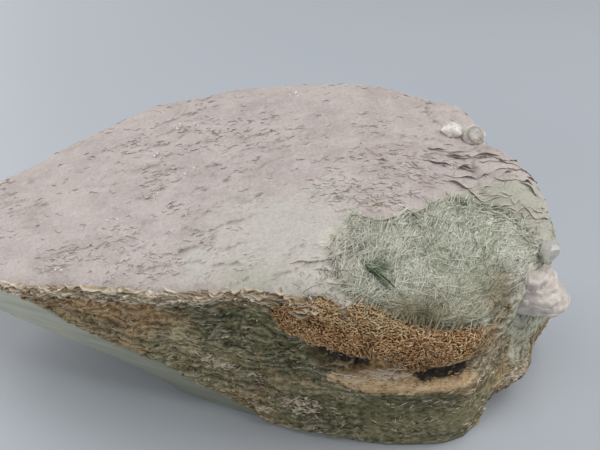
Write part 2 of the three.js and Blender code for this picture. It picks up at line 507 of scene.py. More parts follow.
def threads(paths: np.ndarray, radii: np.ndarray, sides: int, up: np.ndarray,
            marks: dict[str, np.ndarray]) -> Shape:
    """Closed tubes along many short paths, each pointed at both ends.

    Args:
        paths: For each tube, the points of its centreline, the tips included.
        radii: For each tube, the radius at each point between its tips.
        sides: How many sides the tubes have.
        up: For each tube, the way out of the ground that it lies on.
        marks: A value for each tube, which all its points carry.

    Returns:
        All the tubes as one shape, with `along` from tip to tip and `under` for painted shade on the lower side.
    """
    count, stations = paths.shape[:2]
    rings = stations - 2
    middle = paths[:, 1:-1]
    tangent = unit(paths[:, 2:] - paths[:, :-2])
    reference = np.where(np.abs(tangent[..., 2:]) > 0.9, [1.0, 0, 0], [0, 0, 1.0])
    first = unit(np.cross(tangent, reference))
    second = np.cross(tangent, first)
    angle = 2 * math.pi * np.arange(sides) / sides
    spoke = first[:, :, None] * np.cos(angle)[:, None] + second[:, :, None] * np.sin(angle)[:, None]
    ring = (middle[:, :, None] + radii[:, :, None, None] * spoke).reshape(count, rings * sides, 3)
    points = np.concatenate([paths[:, :1], ring, paths[:, -1:]], 1)
    each = points.shape[1]
    k = np.arange(sides)
    step = (k + 1) % sides
    parts = [np.stack([np.zeros_like(k), 1 + step, 1 + k], 1)]
    for r in range(rings - 1):
        a, b = 1 + r * sides, 1 + (r + 1) * sides
        parts += [np.stack([a + k, a + step, b + k], 1), np.stack([a + step, b + step, b + k], 1)]
    last = 1 + (rings - 1) * sides
    parts.append(np.stack([last + k, last + step, np.full_like(k, each - 1)], 1))
    skin = np.concatenate(parts)
    triangles = (skin[None] + each * np.arange(count)[:, None, None]).reshape(-1, 3)
    carried = {name: np.repeat(values, each) for name, values in marks.items()}
    station = np.concatenate([[0], np.repeat(np.linspace(0.2, 0.8, rings), sides), [1]])
    carried["along"] = np.tile(station, count)
    # under: painted shade on the side of each tube that faces the ground
    low = np.full((count, each), 0.5)
    low[:, 1:-1] -= 0.5 * np.einsum("irsk,ik->irs", spoke, up).reshape(count, -1)
    carried["under"] = low.ravel()
    return Shape(points.reshape(-1, 3), triangles, carried)


# ---- node trees ----


def shade(code: str) -> tuple[float, float, float, float]:
    """A colour given as six hexadecimal digits, in linear light."""
    parts = [int(code[k : k + 2], 16) / 255 for k in (0, 2, 4)]
    linear = [c / 12.92 if c <= 0.04045 else ((c + 0.055) / 1.055) ** 2.4 for c in parts]
    return (*linear, 1.0)


Value = bpy.types.NodeSocket | float | tuple


class Graph:
    """A node tree while it is being built."""

    def __init__(self, tree: bpy.types.NodeTree) -> None:
        """Starts on a tree.

        Args:
            tree: The material's or group's node tree.
        """
        self.tree = tree

    def node(self, kind: str, inputs: dict[str | int, Value], **settings: object) -> bpy.types.Node:
        """Adds a node.

        Args:
            kind: The node's type.
            inputs: For an input's name or number, a plain value or the socket that feeds it.
            **settings: The node's own settings.

        Returns:
            The node.
        """
        made = self.tree.nodes.new(kind)
        for name, value in settings.items():
            setattr(made, name, value)
        for name, value in inputs.items():
            if isinstance(value, bpy.types.NodeSocket):
                self.tree.links.new(value, made.inputs[name])
            else:
                made.inputs[name].default_value = value
        return made

    def mark(self, name: str) -> bpy.types.NodeSocket:
        """The value of one of the mesh's marks."""
        return self.node("ShaderNodeAttribute", {}, attribute_name=name).outputs["Fac"]

    def math(self, operation: str, a: Value, b: Value = 0.0) -> bpy.types.NodeSocket:
        """The result of a Math node on two values."""
        return self.node("ShaderNodeMath", {0: a, 1: b}, operation=operation).outputs[0]

    def between(self, value: Value, low: float, high: float) -> bpy.types.NodeSocket:
        """A smooth step from 0 at low to 1 at high."""
        inputs = {"Value": value, "From Min": low, "From Max": high}
        return self.node("ShaderNodeMapRange", inputs, interpolation_type="SMOOTHSTEP").outputs["Result"]

    def mix(self, share: Value, a: Value, b: Value, blend: str = "MIX") -> bpy.types.NodeSocket:
        """The colour that goes from a to b as share goes from 0 to 1."""
        node = self.node("ShaderNodeMix", {0: share}, data_type="RGBA", blend_type=blend)
        for number, value in ((6, a), (7, b)):
            if isinstance(value, bpy.types.NodeSocket):
                self.tree.links.new(value, node.inputs[number])
            else:
                node.inputs[number].default_value = value
        return node.outputs[2]

    def noise(self, place: Value, size: float | tuple, detail: float = 3.0) -> bpy.types.NodeSocket:
        """Noise from 0 to 1 with lumps of a size in millimetres, or one size along each axis."""
        sizes = size if isinstance(size, tuple) else (size,) * 3
        scale = tuple(1 / s for s in sizes)
        scaled = self.node("ShaderNodeVectorMath", {0: place, 1: scale}, operation="MULTIPLY").outputs[0]
        inputs = {"Vector": scaled, "Scale": 1.0, "Detail": detail}
        return self.node("ShaderNodeTexNoise", inputs).outputs["Fac"]

    def place(self) -> bpy.types.NodeSocket:
        """The point on the object, in millimetres."""
        here = self.node("ShaderNodeTexCoord", {}).outputs["Object"]
        return self.node("ShaderNodeVectorMath", {0: here, 3: 1 / MM}, operation="SCALE").outputs[0]

    def group(self, group: bpy.types.NodeTree, inputs: dict[str, Value]) -> bpy.types.Node:
        """Places a shared node group."""
        made = self.tree.nodes.new("ShaderNodeGroup")
        made.node_tree = group
        for name, value in inputs.items():
            if isinstance(value, bpy.types.NodeSocket):
                self.tree.links.new(value, made.inputs[name])
            else:
                made.inputs[name].default_value = value
        return made


@dataclass(frozen=True)
class FeltTones:
    """The colours of matted actinolite, as six hexadecimal digits each."""

    dark: str = "6f755e"
    mid: str = "c8ccb8"
    light: str = "f6f7ec"
    tan: str = "b0a586"
    white: str = "e6e3db"


class Effects:
    """The node groups that several finishes share, each built once."""

    def __init__(self) -> None:
        """Builds the groups."""
        self.ragged = self.build("Ragged border", {"Mask": 0.0, "Place": None, "Wander": 0.5, "Soft": 0.12},
                                 {"Mask": "Float"}, self.fill_ragged)
        self.foliation = self.build("Foliation", {"Place": None, "Broken": 0.5},
                                    {"Lines": "Float", "Height": "Float", "Tone": "Float"}, self.fill_foliation)
        self.sheets = self.build("Folded sheets", {"Place": None, "Layer": 0.0},
                                 {"Dark": "Float", "Light": "Float", "Height": "Float"}, self.fill_sheets)
        self.mottle = self.build("Mottle", {"Place": None},
                                 {"Cloud": "Float", "Blotch": "Float", "Grain": "Float", "Speck": "Float",
                                  "Fleck": "Float"}, self.fill_mottle)
        self.streak = self.build("Fibre streaks", {"Place": None, "Tone": 0.5, "Along": 0.5},
                                 {"Light": "Float", "Height": "Float"}, self.fill_streak)
        self.hairs = self.build("Fine hairs", {"Place": None}, {"Lines": "Float"}, self.fill_hairs)
        self.felt = self.build("Felt colour", {"Place": None, "Tone": 0.5, "Stain": 0.0, "Pale": 0.0},
                               {"Colour": "Color", "Height": "Float"}, self.fill_felt)

    def build(self, name: str, inputs: dict[str, float | None], outputs: dict[str, str],
              fill: Callable[[Graph, bpy.types.Node], list[Value]]) -> bpy.types.NodeTree:
        """Builds a group.

        Args:
            name: The group's name.
            inputs: The default of each input, or None for a vector.
            outputs: The kind of each output.
            fill: Adds the nodes and returns the sockets for the outputs.

        Returns:
            The group.
        """
        tree = bpy.data.node_groups.new(name, "ShaderNodeTree")
        for label, default in inputs.items():
            kind = "NodeSocketVector" if default is None else "NodeSocketFloat"
            socket = tree.interface.new_socket(name=label, in_out="INPUT", socket_type=kind)
            if default is not None:
                socket.default_value = default
        for label, kind in outputs.items():
            tree.interface.new_socket(name=label, in_out="OUTPUT", socket_type=f"NodeSocket{kind}")
        graph = Graph(tree)
        source = graph.node("NodeGroupInput", {})
        graph.node("NodeGroupOutput", dict(zip(outputs, fill(graph, source))))
        return tree

    def fill_ragged(self, graph: Graph, source: bpy.types.Node) -> list[Value]:
        """A soft mask cut off along a ragged line."""
        wide = graph.noise(source.outputs["Place"], 3.2, 4.0)
        swing = graph.math("MULTIPLY", graph.math("SUBTRACT", wide, 0.5), source.outputs["Wander"])
        swung = graph.math("ADD", source.outputs["Mask"], graph.math("MULTIPLY", swing, 2.0))
        low = graph.math("SUBTRACT", 0.5, source.outputs["Soft"])
        high = graph.math("ADD", 0.5, source.outputs["Soft"])
        inputs = {"Value": swung, "From Min": low, "From Max": high}
        return [graph.node("ShaderNodeMapRange", inputs, interpolation_type="SMOOTHSTEP").outputs["Result"]]

    def fill_foliation(self, graph: Graph, source: bpy.types.Node) -> list[Value]:
        """Short dark lines along the layering, which stand for cracks and painted shadow under flake edges, the relief
        round them, and slow changes of tone.
        """
        place = source.outputs["Place"]
        warp = graph.noise(place, 5.0, 2.0)
        bend = graph.node("ShaderNodeCombineXYZ", {"Y": graph.math("MULTIPLY", warp, 4.0),
                                                   "Z": graph.math("MULTIPLY", warp, 2.0)}).outputs[0]
        bent = graph.node("ShaderNodeVectorMath", {0: place, 1: bend}, operation="ADD").outputs[0]
        sheet = graph.noise(bent, (7.0, 1.5, 1.1), 3.0)
        ridge = graph.math("ABSOLUTE", graph.math("SUBTRACT", sheet, 0.5))
        thin = graph.math("SUBTRACT", 1.0, graph.between(ridge, 0.0, 0.022))
        here = graph.between(graph.noise(place, 9.0, 3.0), 0.5, 0.62)
        lines = graph.math("MULTIPLY", graph.math("MULTIPLY", thin, here), source.outputs["Broken"])
        fine = graph.noise(bent, (2.6, 0.7, 0.5), 2.0)
        height = graph.math("ADD", graph.math("MULTIPLY", sheet, 0.6), graph.math("MULTIPLY", fine, 0.35))
        height = graph.math("SUBTRACT", height, graph.math("MULTIPLY", lines, 0.3))
        tone = graph.noise(bent, (16.0, 6.0, 4.0), 4.0)
        return [lines, height, tone]

    def fill_sheets(self, graph: Graph, source: bpy.types.Node) -> list[Value]:
        """Dark gaps and light edges of thin sheets that follow the folded layering."""
        part = graph.node("ShaderNodeSeparateXYZ", {0: source.outputs["Place"]}).outputs
        inputs = {"X": part["X"], "Y": part["Y"], "Z": source.outputs["Layer"]}
        folded = graph.node("ShaderNodeCombineXYZ", inputs).outputs[0]
        thin = graph.noise(folded, (3.4, 3.4, 0.5), 2.0)
        thick = graph.noise(folded, (7.0, 7.0, 1.9), 4.0)
        both = graph.math("ADD", graph.math("MULTIPLY", thin, 0.6), graph.math("MULTIPLY", thick, 0.4))
        dark = graph.math("SUBTRACT", 1.0, graph.between(both, 0.36, 0.47))
        return [dark, graph.between(both, 0.55, 0.66), both]

    def fill_mottle(self, graph: Graph, source: bpy.types.Node) -> list[Value]:
        """Cloudy patches a finger wide, smaller blotches, fine grain, and scattered dark and light dashes."""
        place = source.outputs["Place"]
        cloud = graph.between(graph.noise(place, 15.0, 4.0), 0.36, 0.66)
        grain = graph.between(graph.noise(place, 0.9, 3.0), 0.3, 0.7)
        blotch = graph.between(graph.noise(place, 4.5, 3.0), 0.46, 0.7)
        dash = graph.noise(place, (1.3, 0.7, 0.4), 2.0)
        here = graph.between(graph.noise(place, 7.0, 3.0), 0.35, 0.6)
        speck = graph.math("MULTIPLY", graph.math("SUBTRACT", 1.0, graph.between(dash, 0.3, 0.38)), here)
        fleck = graph.math("MULTIPLY", graph.between(dash, 0.62, 0.7), here)
        return [cloud, blotch, grain, speck, fleck]

    def fill_streak(self, graph: Graph, source: bpy.types.Node) -> list[Value]:
        """Light and dark along a crystal, with fine striations."""
        fine = graph.noise(source.outputs["Place"], (0.5, 0.35, 0.5), 2.0)
        ends = graph.math("ABSOLUTE", graph.math("SUBTRACT", source.outputs["Along"], 0.5))
        light = graph.math("ADD", source.outputs["Tone"], graph.math("MULTIPLY", ends, 0.35))
        light = graph.math("ADD", light, graph.math("MULTIPLY", graph.math("SUBTRACT", fine, 0.5), 0.5))
        return [light, fine]

    def fill_hairs(self, graph: Graph, source: bpy.types.Node) -> list[Value]:
        """Thin lines in three crossing directions, each in its own patches."""
        place = source.outputs["Place"]
        lines: Value = 0.0
        for turn, shift in ((35.0, 11.0), (-20.0, 23.0), (75.0, 37.0)):
            inputs = {"Vector": place, "Angle": math.radians(turn)}
            turned = graph.node("ShaderNodeVectorRotate", inputs, rotation_type="Z_AXIS").outputs[0]
            strand = graph.noise(turned, (0.34, 5.0, 5.0), 1.0)
            off = graph.math("ABSOLUTE", graph.math("SUBTRACT", strand, 0.5))
            thin = graph.math("SUBTRACT", 1.0, graph.between(off, 0.0, 0.045))
            moved = graph.node("ShaderNodeVectorMath", {0: place, 1: (shift,) * 3}, operation="ADD").outputs[0]
            here = graph.between(graph.noise(moved, 3.0, 2.0), 0.46, 0.58)
            lines = graph.math("MAXIMUM", lines, graph.math("MULTIPLY", thin, here))
        return [lines]

    def fill_felt(self, graph: Graph, source: bpy.types.Node) -> list[Value]:
        """Dark to light by tone and hair, tan where stained, whiter where pale."""
        tones = FeltTones()
        place = source.outputs["Place"]
        hairs = graph.group(self.hairs, {"Place": place}).outputs["Lines"]
        patch = graph.math("SUBTRACT", graph.noise(place, 5.0, 3.0), 0.5)
        level = graph.math("ADD", source.outputs["Tone"], graph.math("MULTIPLY", hairs, 0.3))
        level = graph.math("ADD", level, graph.math("MULTIPLY", patch, 1.0))
        colour = graph.mix(graph.between(level, 0.0, 0.55), shade(tones.dark), shade(tones.mid))
        colour = graph.mix(graph.between(level, 0.55, 1.2), colour, shade(tones.light))
        stained = graph.mix(graph.between(level, 0.0, 1.1), shade(tones.dark), shade(tones.tan))
        colour = graph.mix(source.outputs["Stain"], colour, stained)
        share = graph.math("MULTIPLY", source.outputs["Pale"], graph.between(level, 0.1, 0.6))
        return [graph.mix(share, colour, shade(tones.white)), hairs]


class Finish:
    """A material made of nodes. Each finish fills its own tree."""

    title = "Finish"

    def fill(self, graph: Graph, effects: Effects) -> dict[str, Value]:
        """Adds the nodes and returns the inputs of the Principled shader."""
        raise NotImplementedError

    def material(self, effects: Effects) -> bpy.types.Material:
        """Builds the material.

        Args:
            effects: The shared node groups.

        Returns:
            The material.
        """
        made = bpy.data.materials.new(self.title)
        made.use_nodes = True
        made.node_tree.nodes.clear()
        graph = Graph(made.node_tree)
        shader = graph.node("ShaderNodeBsdfPrincipled", self.fill(graph, effects))
        graph.node("ShaderNodeOutputMaterial", {"Surface": shader.outputs[0]})
        return made

    def bump(self, graph: Graph, height: Value, distance: float, strength: float) -> bpy.types.NodeSocket:
        """A normal bent by a height, where distance is in millimetres."""
        inputs = {"Height": height, "Distance": distance * MM, "Strength": strength}
        return graph.node("ShaderNodeBump", inputs).outputs["Normal"]


@dataclass(frozen=True)
class SchistFinish(Finish):
    """Pale talc schist, fresh on its top and weathered on its front, with its flakes and its cut."""

    title = "Talc schist"
    pale: str = "cdc3c1"
    pale_dim: str = "bfb4b2"
    pale_light: str = "dad2d0"
    white: str = "d3d0ca"
    green: str = "c0c1b4"
    back: str = "b3aa9e"
    back_dark: str = "8f8779"
    brown: str = "a8936a"
    brown_dark: str = "6b5c3c"
    olive: str = "8f8963"
    olive_dark: str = "66644a"
    dark: str = "4a4c33"
    dark_light: str = "706e4a"
    umber: str = "b9986a"
    umber_dark: str = "76603c"
    rust: str = "80603a"
    rust_dark: str = "36281a"
    ochre: str = "bb9b70"
    ochre_light: str = "d6c09c"
    cream: str = "ede2d0"
    tan: str = "bbb18c"
    # hollow: near black, the painted shade in the pits under the rusty band
    hollow: str = "231c11"
    flank: str = "cbcbb8"
    flank_dark: str = "9fa189"
    corner: str = "aea184"
    corner_dark: str = "6c5f48"
    sawn: str = "bfc2b3"
    # sawn_dark: the right end of the sawn faces, in painted shade
    sawn_dark: str = "6a6f64"
    # crack_and_shade: the colour of cracks and specks, and of the painted shade in hollows and under plates
    crack_and_shade: str = "54493a"
    ridge: str = "7d6440"

    def fill(self, graph: Graph, effects: Effects) -> dict[str, Value]:
        """Lays the fresh top over the weathered sides, then painted shade and dirt in hollows, painted shadow lines,
        painted highlights on rims, painted shade under plates, and the cut.
        """
        place = graph.place()
        mottle = graph.group(effects.mottle, {"Place": place}).outputs
        foliation = graph.group(effects.foliation, {"Place": place, "Broken": graph.mark("broken")}).outputs
        sheets = graph.group(effects.sheets, {"Place": place, "Layer": graph.mark("layer")}).outputs

        def zone(name: str, wander: float = 0.5, soft: float = 0.12) -> bpy.types.NodeSocket:
            """A zone of the surface with a ragged border."""
            inputs = {"Mask": graph.mark(name), "Place": place, "Wander": wander, "Soft": soft}
            return graph.group(effects.ragged, inputs).outputs["Mask"]

        tone = graph.between(foliation["Tone"], 0.32, 0.68)
        fresh = self.fresh(graph, zone, tone, mottle)
        worn = self.worn(graph, zone, tone, mottle, sheets)
        top = zone("top", 0.35, 0.08)
        colour = graph.mix(top, worn, fresh)
        # deep darkens the felted ground: darker felt, and painted shadow under the sheet's edge
        felt_tone = graph.math("SUBTRACT", 0.4, graph.math("MULTIPLY", graph.mark("deep"), 0.25))
        inputs = {"Place": place, "Tone": felt_tone, "Stain": graph.mark("stain"), "Pale": graph.mark("white")}
        felt = graph.group(effects.felt, inputs).outputs["Colour"]
        colour = graph.mix(zone("felted", 0.5, 0.35), colour, felt)
        # painted shade and dirt in the surface's hollows; on the dark splinters the same mark is their own dark colour
        hollow = graph.math("MULTIPLY", graph.mark("hollow"), 0.6)
        colour = graph.mix(hollow, colour, shade(self.crack_and_shade), "MULTIPLY")
        # dark lines along the layering on the top: painted shadow under small flake edges, and cracks
        torn = graph.math("ADD", 0.5, graph.math("MULTIPLY", graph.mark("ripples"), 0.5))
        cracks = graph.math("MULTIPLY", graph.math("MULTIPLY", foliation["Lines"], torn), top)
        colour = graph.mix(cracks, colour, shade(self.crack_and_shade))
        # rim: a painted pale highlight on free edges and crests
        colour = graph.mix(graph.math("MULTIPLY", graph.mark("rim"), 0.3), colour, shade(self.cream))
        # under: painted shade on the lower sides of plates and splinters
        below = graph.math("MULTIPLY", graph.mark("under"), 0.45)
        colour = graph.mix(below, colour, shade(self.crack_and_shade), "MULTIPLY")
        cut = graph.mark("sawn")
        colour = graph.mix(cut, colour, self.cut_face(graph, place))
        roughness = graph.math("SUBTRACT", 0.82, graph.math("MULTIPLY", mottle["Grain"], 0.12))
        roughness = graph.math("SUBTRACT", roughness, graph.math("MULTIPLY", cut, 0.3))
        folded = graph.math("MULTIPLY", sheets["Height"], graph.math("SUBTRACT", 1.4, graph.math("MULTIPLY", top, 1.4)))
        height = graph.math("ADD", foliation["Height"], graph.math("MULTIPLY", mottle["Grain"], 0.22))
        height = graph.math("ADD", height, folded)
        rough = graph.math("MULTIPLY", height, graph.math("SUBTRACT", 1.0, cut))
        return {"Base Color": colour, "Roughness": roughness, "Normal": self.bump(graph, rough, 0.35, 0.8)}

    def fresh(self, graph: Graph, zone: Callable[..., bpy.types.NodeSocket], tone: Value,
              mottle: bpy.types.bpy_prop_collection) -> bpy.types.NodeSocket:
        """The colour of the fresh top: pinkish grey, whiter and greener near the felt, and sandy."""
        colour = graph.mix(tone, shade(self.pale_dim), shade(self.pale))
        colour = graph.mix(graph.math("MULTIPLY", mottle["Cloud"], 0.5), colour, shade(self.pale_light))
        colour = graph.mix(graph.math("MULTIPLY", mottle["Blotch"], 0.5), colour, shade(self.pale_light))
        colour = graph.mix(zone("green", 0.7, 0.4), colour, shade(self.green))
        colour = graph.mix(zone("white", 0.8, 0.45), colour, shade(self.white))
        colour = graph.mix(graph.math("MULTIPLY", mottle["Speck"], 0.22), colour, shade(self.crack_and_shade))
        colour = graph.mix(graph.math("MULTIPLY", mottle["Fleck"], 0.25), colour, shade(self.cream))
        return graph.mix(graph.math("MULTIPLY", mottle["Grain"], 0.3), colour, shade(self.pale_dim), "MULTIPLY")

    def worn(self, graph: Graph, zone: Callable[..., bpy.types.NodeSocket], tone: Value,
             mottle: bpy.types.bpy_prop_collection, sheets: bpy.types.bpy_prop_collection) -> bpy.types.NodeSocket:
        """The colour of the weathered sides, zone over zone, with the edges of the thin sheets."""
        grain = mottle["Grain"]
        # pit paints the hollows under the rusty band near black, as painted shade
        pairs = (
            ("olive", self.olive_dark, self.olive), ("tan", self.olive, self.tan),
            ("dark", self.dark, self.dark_light), ("umber", self.umber_dark, self.umber),
            ("rust", self.rust_dark, self.rust), ("ochre", self.ochre, self.ochre_light),
            ("pit", self.hollow, self.rust_dark), ("flank", self.flank_dark, self.flank),
            ("corner", self.corner_dark, self.corner),
        )
        colour = graph.mix(tone, shade(self.brown_dark), shade(self.brown))
        share = graph.math("MULTIPLY", graph.math("ADD", tone, grain), 0.5)
        for name, low, high in pairs:
            colour = graph.mix(zone(name, 0.55, 0.16), colour, graph.mix(share, shade(low), shade(high)))
        colour = graph.mix(graph.math("MULTIPLY", graph.mark("ridge"), 0.75), colour, shade(self.ridge))
        colour = graph.mix(graph.math("MULTIPLY", mottle["Speck"], 0.65), colour, shade(self.crack_and_shade), "MULTIPLY")
        colour = graph.mix(graph.math("MULTIPLY", mottle["Fleck"], 0.38), colour, shade(self.cream))
        calm = graph.math("SUBTRACT", 1.0, graph.math("MULTIPLY", graph.mark("calm"), 0.5))
        patchy = graph.math("ADD", 0.2, graph.math("MULTIPLY", mottle["Cloud"], 0.45))
        dark = graph.math("MULTIPLY", graph.math("MULTIPLY", sheets["Dark"], patchy), calm)
        light = graph.math("MULTIPLY", graph.math("MULTIPLY", sheets["Light"], 0.14), calm)
        colour = graph.mix(dark, colour, shade(self.crack_and_shade), "MULTIPLY")
        colour = graph.mix(light, colour, shade(self.cream))
        colour = graph.mix(graph.mark("cream"), colour, shade(self.cream))
        away = graph.mix(tone, shade(self.back_dark), shade(self.back))
        away = graph.mix(graph.math("MULTIPLY", dark, 0.6), away, shade(self.crack_and_shade), "MULTIPLY")
        return graph.mix(zone("behind", 0.4, 0.3), colour, away)

    def cut_face(self, graph: Graph, place: Value) -> bpy.types.NodeSocket:
        """The colour of the sawn faces: a painted gradient of light, paler to the left and in painted shade to the
        right, with soft streaks along the cut.
        """
        streaks = graph.noise(place, (34.0, 12.0, 2.2), 3.0)
        along = graph.node("ShaderNodeSeparateXYZ", {0: place}).outputs["X"]
        # painted light: paler towards the left end, darker towards the right
        share = graph.math("SUBTRACT", 1.0, graph.between(along, -110.0, 20.0))
        share = graph.math("ADD", share, graph.math("MULTIPLY", graph.math("SUBTRACT", streaks, 0.5), 0.8))
        return graph.mix(graph.between(share, -0.2, 1.2), shade(self.sawn_dark), shade(self.sawn))


@dataclass(frozen=True)
class FeltFinish(Finish):
    """Matted actinolite: silky, pale to dark green, tan where it meets the rusty front."""

    title = "Actinolite felt"

    def fill(self, graph: Graph, effects: Effects) -> dict[str, Value]:
        """Goes from dark to light by each needle's tone, with painted shade on its lower side."""
        inputs = {"Place": graph.place(), "Tone": graph.mark("tone"), "Stain": graph.mark("stain"),
                  "Pale": graph.mark("white")}
        felt = graph.group(effects.felt, inputs).outputs
        # painted shade on the lower side of each needle
        below = graph.math("MULTIPLY", graph.mark("under"), 0.4)
        colour = graph.mix(below, felt["Colour"], shade(FeltTones().dark), "MULTIPLY")
        roughness = graph.math("ADD", 0.5, graph.math("MULTIPLY", felt["Height"], 0.15))
        normal = self.bump(graph, felt["Height"], 0.12, 0.6)
        return {"Base Color": colour, "Roughness": roughness, "Normal": normal}


@dataclass(frozen=True)
class RustFinish(Finish):
    """Curled grains stained by iron, tan, with painted shade in dark brown on their lower sides."""

    title = "Rusty grains"
    dark: str = "7a5634"
    mid: str = "cba06f"
    light: str = "f3dbb2"
    # below: the painted shade on the grains' lower sides
    below: str = "2a1b0e"
    dust: str = "c2ab84"

    def fill(self, graph: Graph, effects: Effects) -> dict[str, Value]:
        """Goes from brown to a light tan by each grain's tone, with painted shade on its lower side."""
        place = graph.place()
        inputs = {"Place": place, "Tone": graph.mark("tone"), "Along": graph.mark("along")}
        streak = graph.group(effects.streak, inputs).outputs
        mottle = graph.group(effects.mottle, {"Place": place}).outputs
        colour = graph.mix(graph.between(streak["Light"], 0.0, 0.5), shade(self.dark), shade(self.mid))
        colour = graph.mix(graph.between(streak["Light"], 0.5, 1.1), colour, shade(self.light))
        colour = graph.mix(graph.math("MULTIPLY", mottle["Cloud"], 0.22), colour, shade(self.dark))
        colour = graph.mix(graph.mark("dust"), colour, shade(self.dust))
        # painted shade on the lower side of each grain
        colour = graph.mix(graph.between(graph.mark("under"), 0.15, 0.75), colour, shade(self.below))
        normal = self.bump(graph, mottle["Grain"], 0.1, 0.5)
        roughness = graph.math("ADD", 0.7, graph.math("MULTIPLY", mottle["Grain"], 0.15))
        return {"Base Color": colour, "Roughness": roughness, "Normal": normal}


@dataclass(frozen=True)
class BladeFinish(Finish):
    """Dark green actinolite with a glassy lustre and pale cleavage."""

    title = "Actinolite blades"
    dark: str = "27351f"
    mid: str = "4f6540"
    light: str = "a3b294"

    def fill(self, graph: Graph, effects: Effects) -> dict[str, Value]:
        """Goes from dark to light by each crystal's tone, with fine striations."""
        inputs = {"Place": graph.place(), "Tone": graph.mark("tone"), "Along": graph.mark("along")}
        streak = graph.group(effects.streak, inputs).outputs
        colour = graph.mix(graph.between(streak["Light"], 0.1, 0.8), shade(self.dark), shade(self.mid))
        colour = graph.mix(graph.between(streak["Light"], 0.8, 1.2), colour, shade(self.light))
        roughness = graph.math("ADD", 0.22, graph.math("MULTIPLY", streak["Height"], 0.2))
        return {"Base Color": colour, "Roughness": roughness,
                "Normal": self.bump(graph, streak["Height"], 0.08, 0.5), "Coat Weight": 0.3}


@dataclass(frozen=True)
class QuartzFinish(Finish):
    """Cloudy quartz and talc plates that light sinks into a little."""

    title: str = "Cloudy quartz"
    dim: str = "c6bdb7"
    body: str = "dfd8d2"
    vein: str = "aaa295"
    glow: float = 0.35

    def fill(self, graph: Graph, effects: Effects) -> dict[str, Value]:
        """Cloudy white with dim veins along the plates."""
        place = graph.place()
        mottle = graph.group(effects.mottle, {"Place": place}).outputs
        foliation = graph.group(effects.foliation, {"Place": place, "Broken": 0.6}).outputs
        cloud = graph.between(graph.noise(place, 3.0, 4.0), 0.35, 0.65)
        colour = graph.mix(cloud, shade(self.dim), shade(self.body))
        colour = graph.mix(graph.math("MULTIPLY", foliation["Lines"], 0.6), colour, shade(self.vein))
        colour = graph.mix(graph.mark("ring"), colour, shade(self.vein))
        roughness = graph.math("ADD", 0.28, graph.math("MULTIPLY", mottle["Grain"], 0.25))
        normal = self.bump(graph, graph.math("ADD", mottle["Grain"], foliation["Height"]), 0.15, 0.5)
        return {"Base Color": colour, "Roughness": roughness, "Normal": normal,
                "Subsurface Weight": self.glow, "Subsurface Radius": (1.0, 0.95, 0.85),
                "Subsurface Scale": 1.5 * MM}


@dataclass(frozen=True)
class ClearQuartzFinish(Finish):
    """Clear quartz that is seen through, with a faint cloud inside."""

    title = "Clear quartz"
    body: str = "fbfaf8"
    cloudy: str = "e8e5df"
    index: float = 1.544

    def fill(self, graph: Graph, effects: Effects) -> dict[str, Value]:
        """Nearly clear, with smooth faces that carry fine growth lines."""
        place = graph.place()
        mottle = graph.group(effects.mottle, {"Place": place}).outputs
        lines = graph.noise(place, (2.0, 2.0, 0.25), 2.0)
        colour = graph.mix(graph.math("MULTIPLY", mottle["Grain"], 0.6), shade(self.body), shade(self.cloudy))
        roughness = graph.math("ADD", 0.06, graph.math("MULTIPLY", mottle["Grain"], 0.1))
        return {"Base Color": colour, "Roughness": roughness, "Normal": self.bump(graph, lines, 0.05, 0.4),
                "Transmission Weight": 0.5, "IOR": self.index}


@dataclass(frozen=True)
class FloorFinish(Finish):
    """A plain pale table top."""

    title = "Pale table"
    colour: str = "c1c8d2"
    cloud: str = "bbc3cd"

    def fill(self, graph: Graph, effects: Effects) -> dict[str, Value]:
        """An almost even pale blue-grey."""
        here = graph.noise(graph.place(), 180.0, 2.0)
        return {"Base Color": graph.mix(here, shade(self.colour), shade(self.cloud)),
                "Roughness": graph.math("ADD", 0.45, graph.math("MULTIPLY", here, 0.1))}


# ---- the pieces ----


class Workshop:
    """Turns shapes into finished pieces of the specimen."""

    def __init__(self) -> None:
        """Builds the shared node groups."""
        self.effects = Effects()
        self.materials: dict[Finish, bpy.types.Material] = {}

    def dressed(self, finish: Finish) -> bpy.types.Material:
        """The material of a finish, built on its first use."""
        if finish not in self.materials:
            self.materials[finish] = finish.material(self.effects)
        return self.materials[finish]

    def piece(self, name: str, shape: Shape, finish: Finish, crease: float = 40.0,
              stands_for: tuple[str, ...] = ()) -> bpy.types.Object:
        """Makes a piece that rides on the specimen.

        Args:
            name: The piece's name.
            shape: Its mesh.
            finish: Its finish.
            crease: Edges sharper than this angle, in degrees, are shaded sharp.
            stands_for: The CAD nodes that it replaces.

        Returns:
            The piece.
        """
        mesh = shape.mesh(name)
        mesh.shade_smooth()
        mesh.set_sharp_from_angle(angle=math.radians(crease))
        mesh.materials.append(self.dressed(finish))
        made = bpy.data.objects.new(name, mesh)
        bpy.context.scene.collection.objects.link(made)
        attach(made, BODY)
        if stands_for:
            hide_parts(*stands_for)
        log.info("%s: %d triangles", name, len(shape.triangles))
        return made


@dataclass(frozen=True)
class Zone:
    """A patch of the surface: an ellipsoid at shares of the block's box, with half-sizes in millimetres."""

    at: tuple[float, float, float]
    half: tuple[float, float, float]
    wander: float = 0.25

    def mark(self, points: np.ndarray, box: Box) -> np.ndarray:
        """Near 1 inside, 0.5 on the border and near 0 outside."""
        away = np.linalg.norm((points - box.at(*self.at)) / np.array(self.half), axis=1)
        return np.clip(1.5 - away + self.wander * NOISE.rough(points, 11.0, 2, self.at[0] * 9), 0, 1)


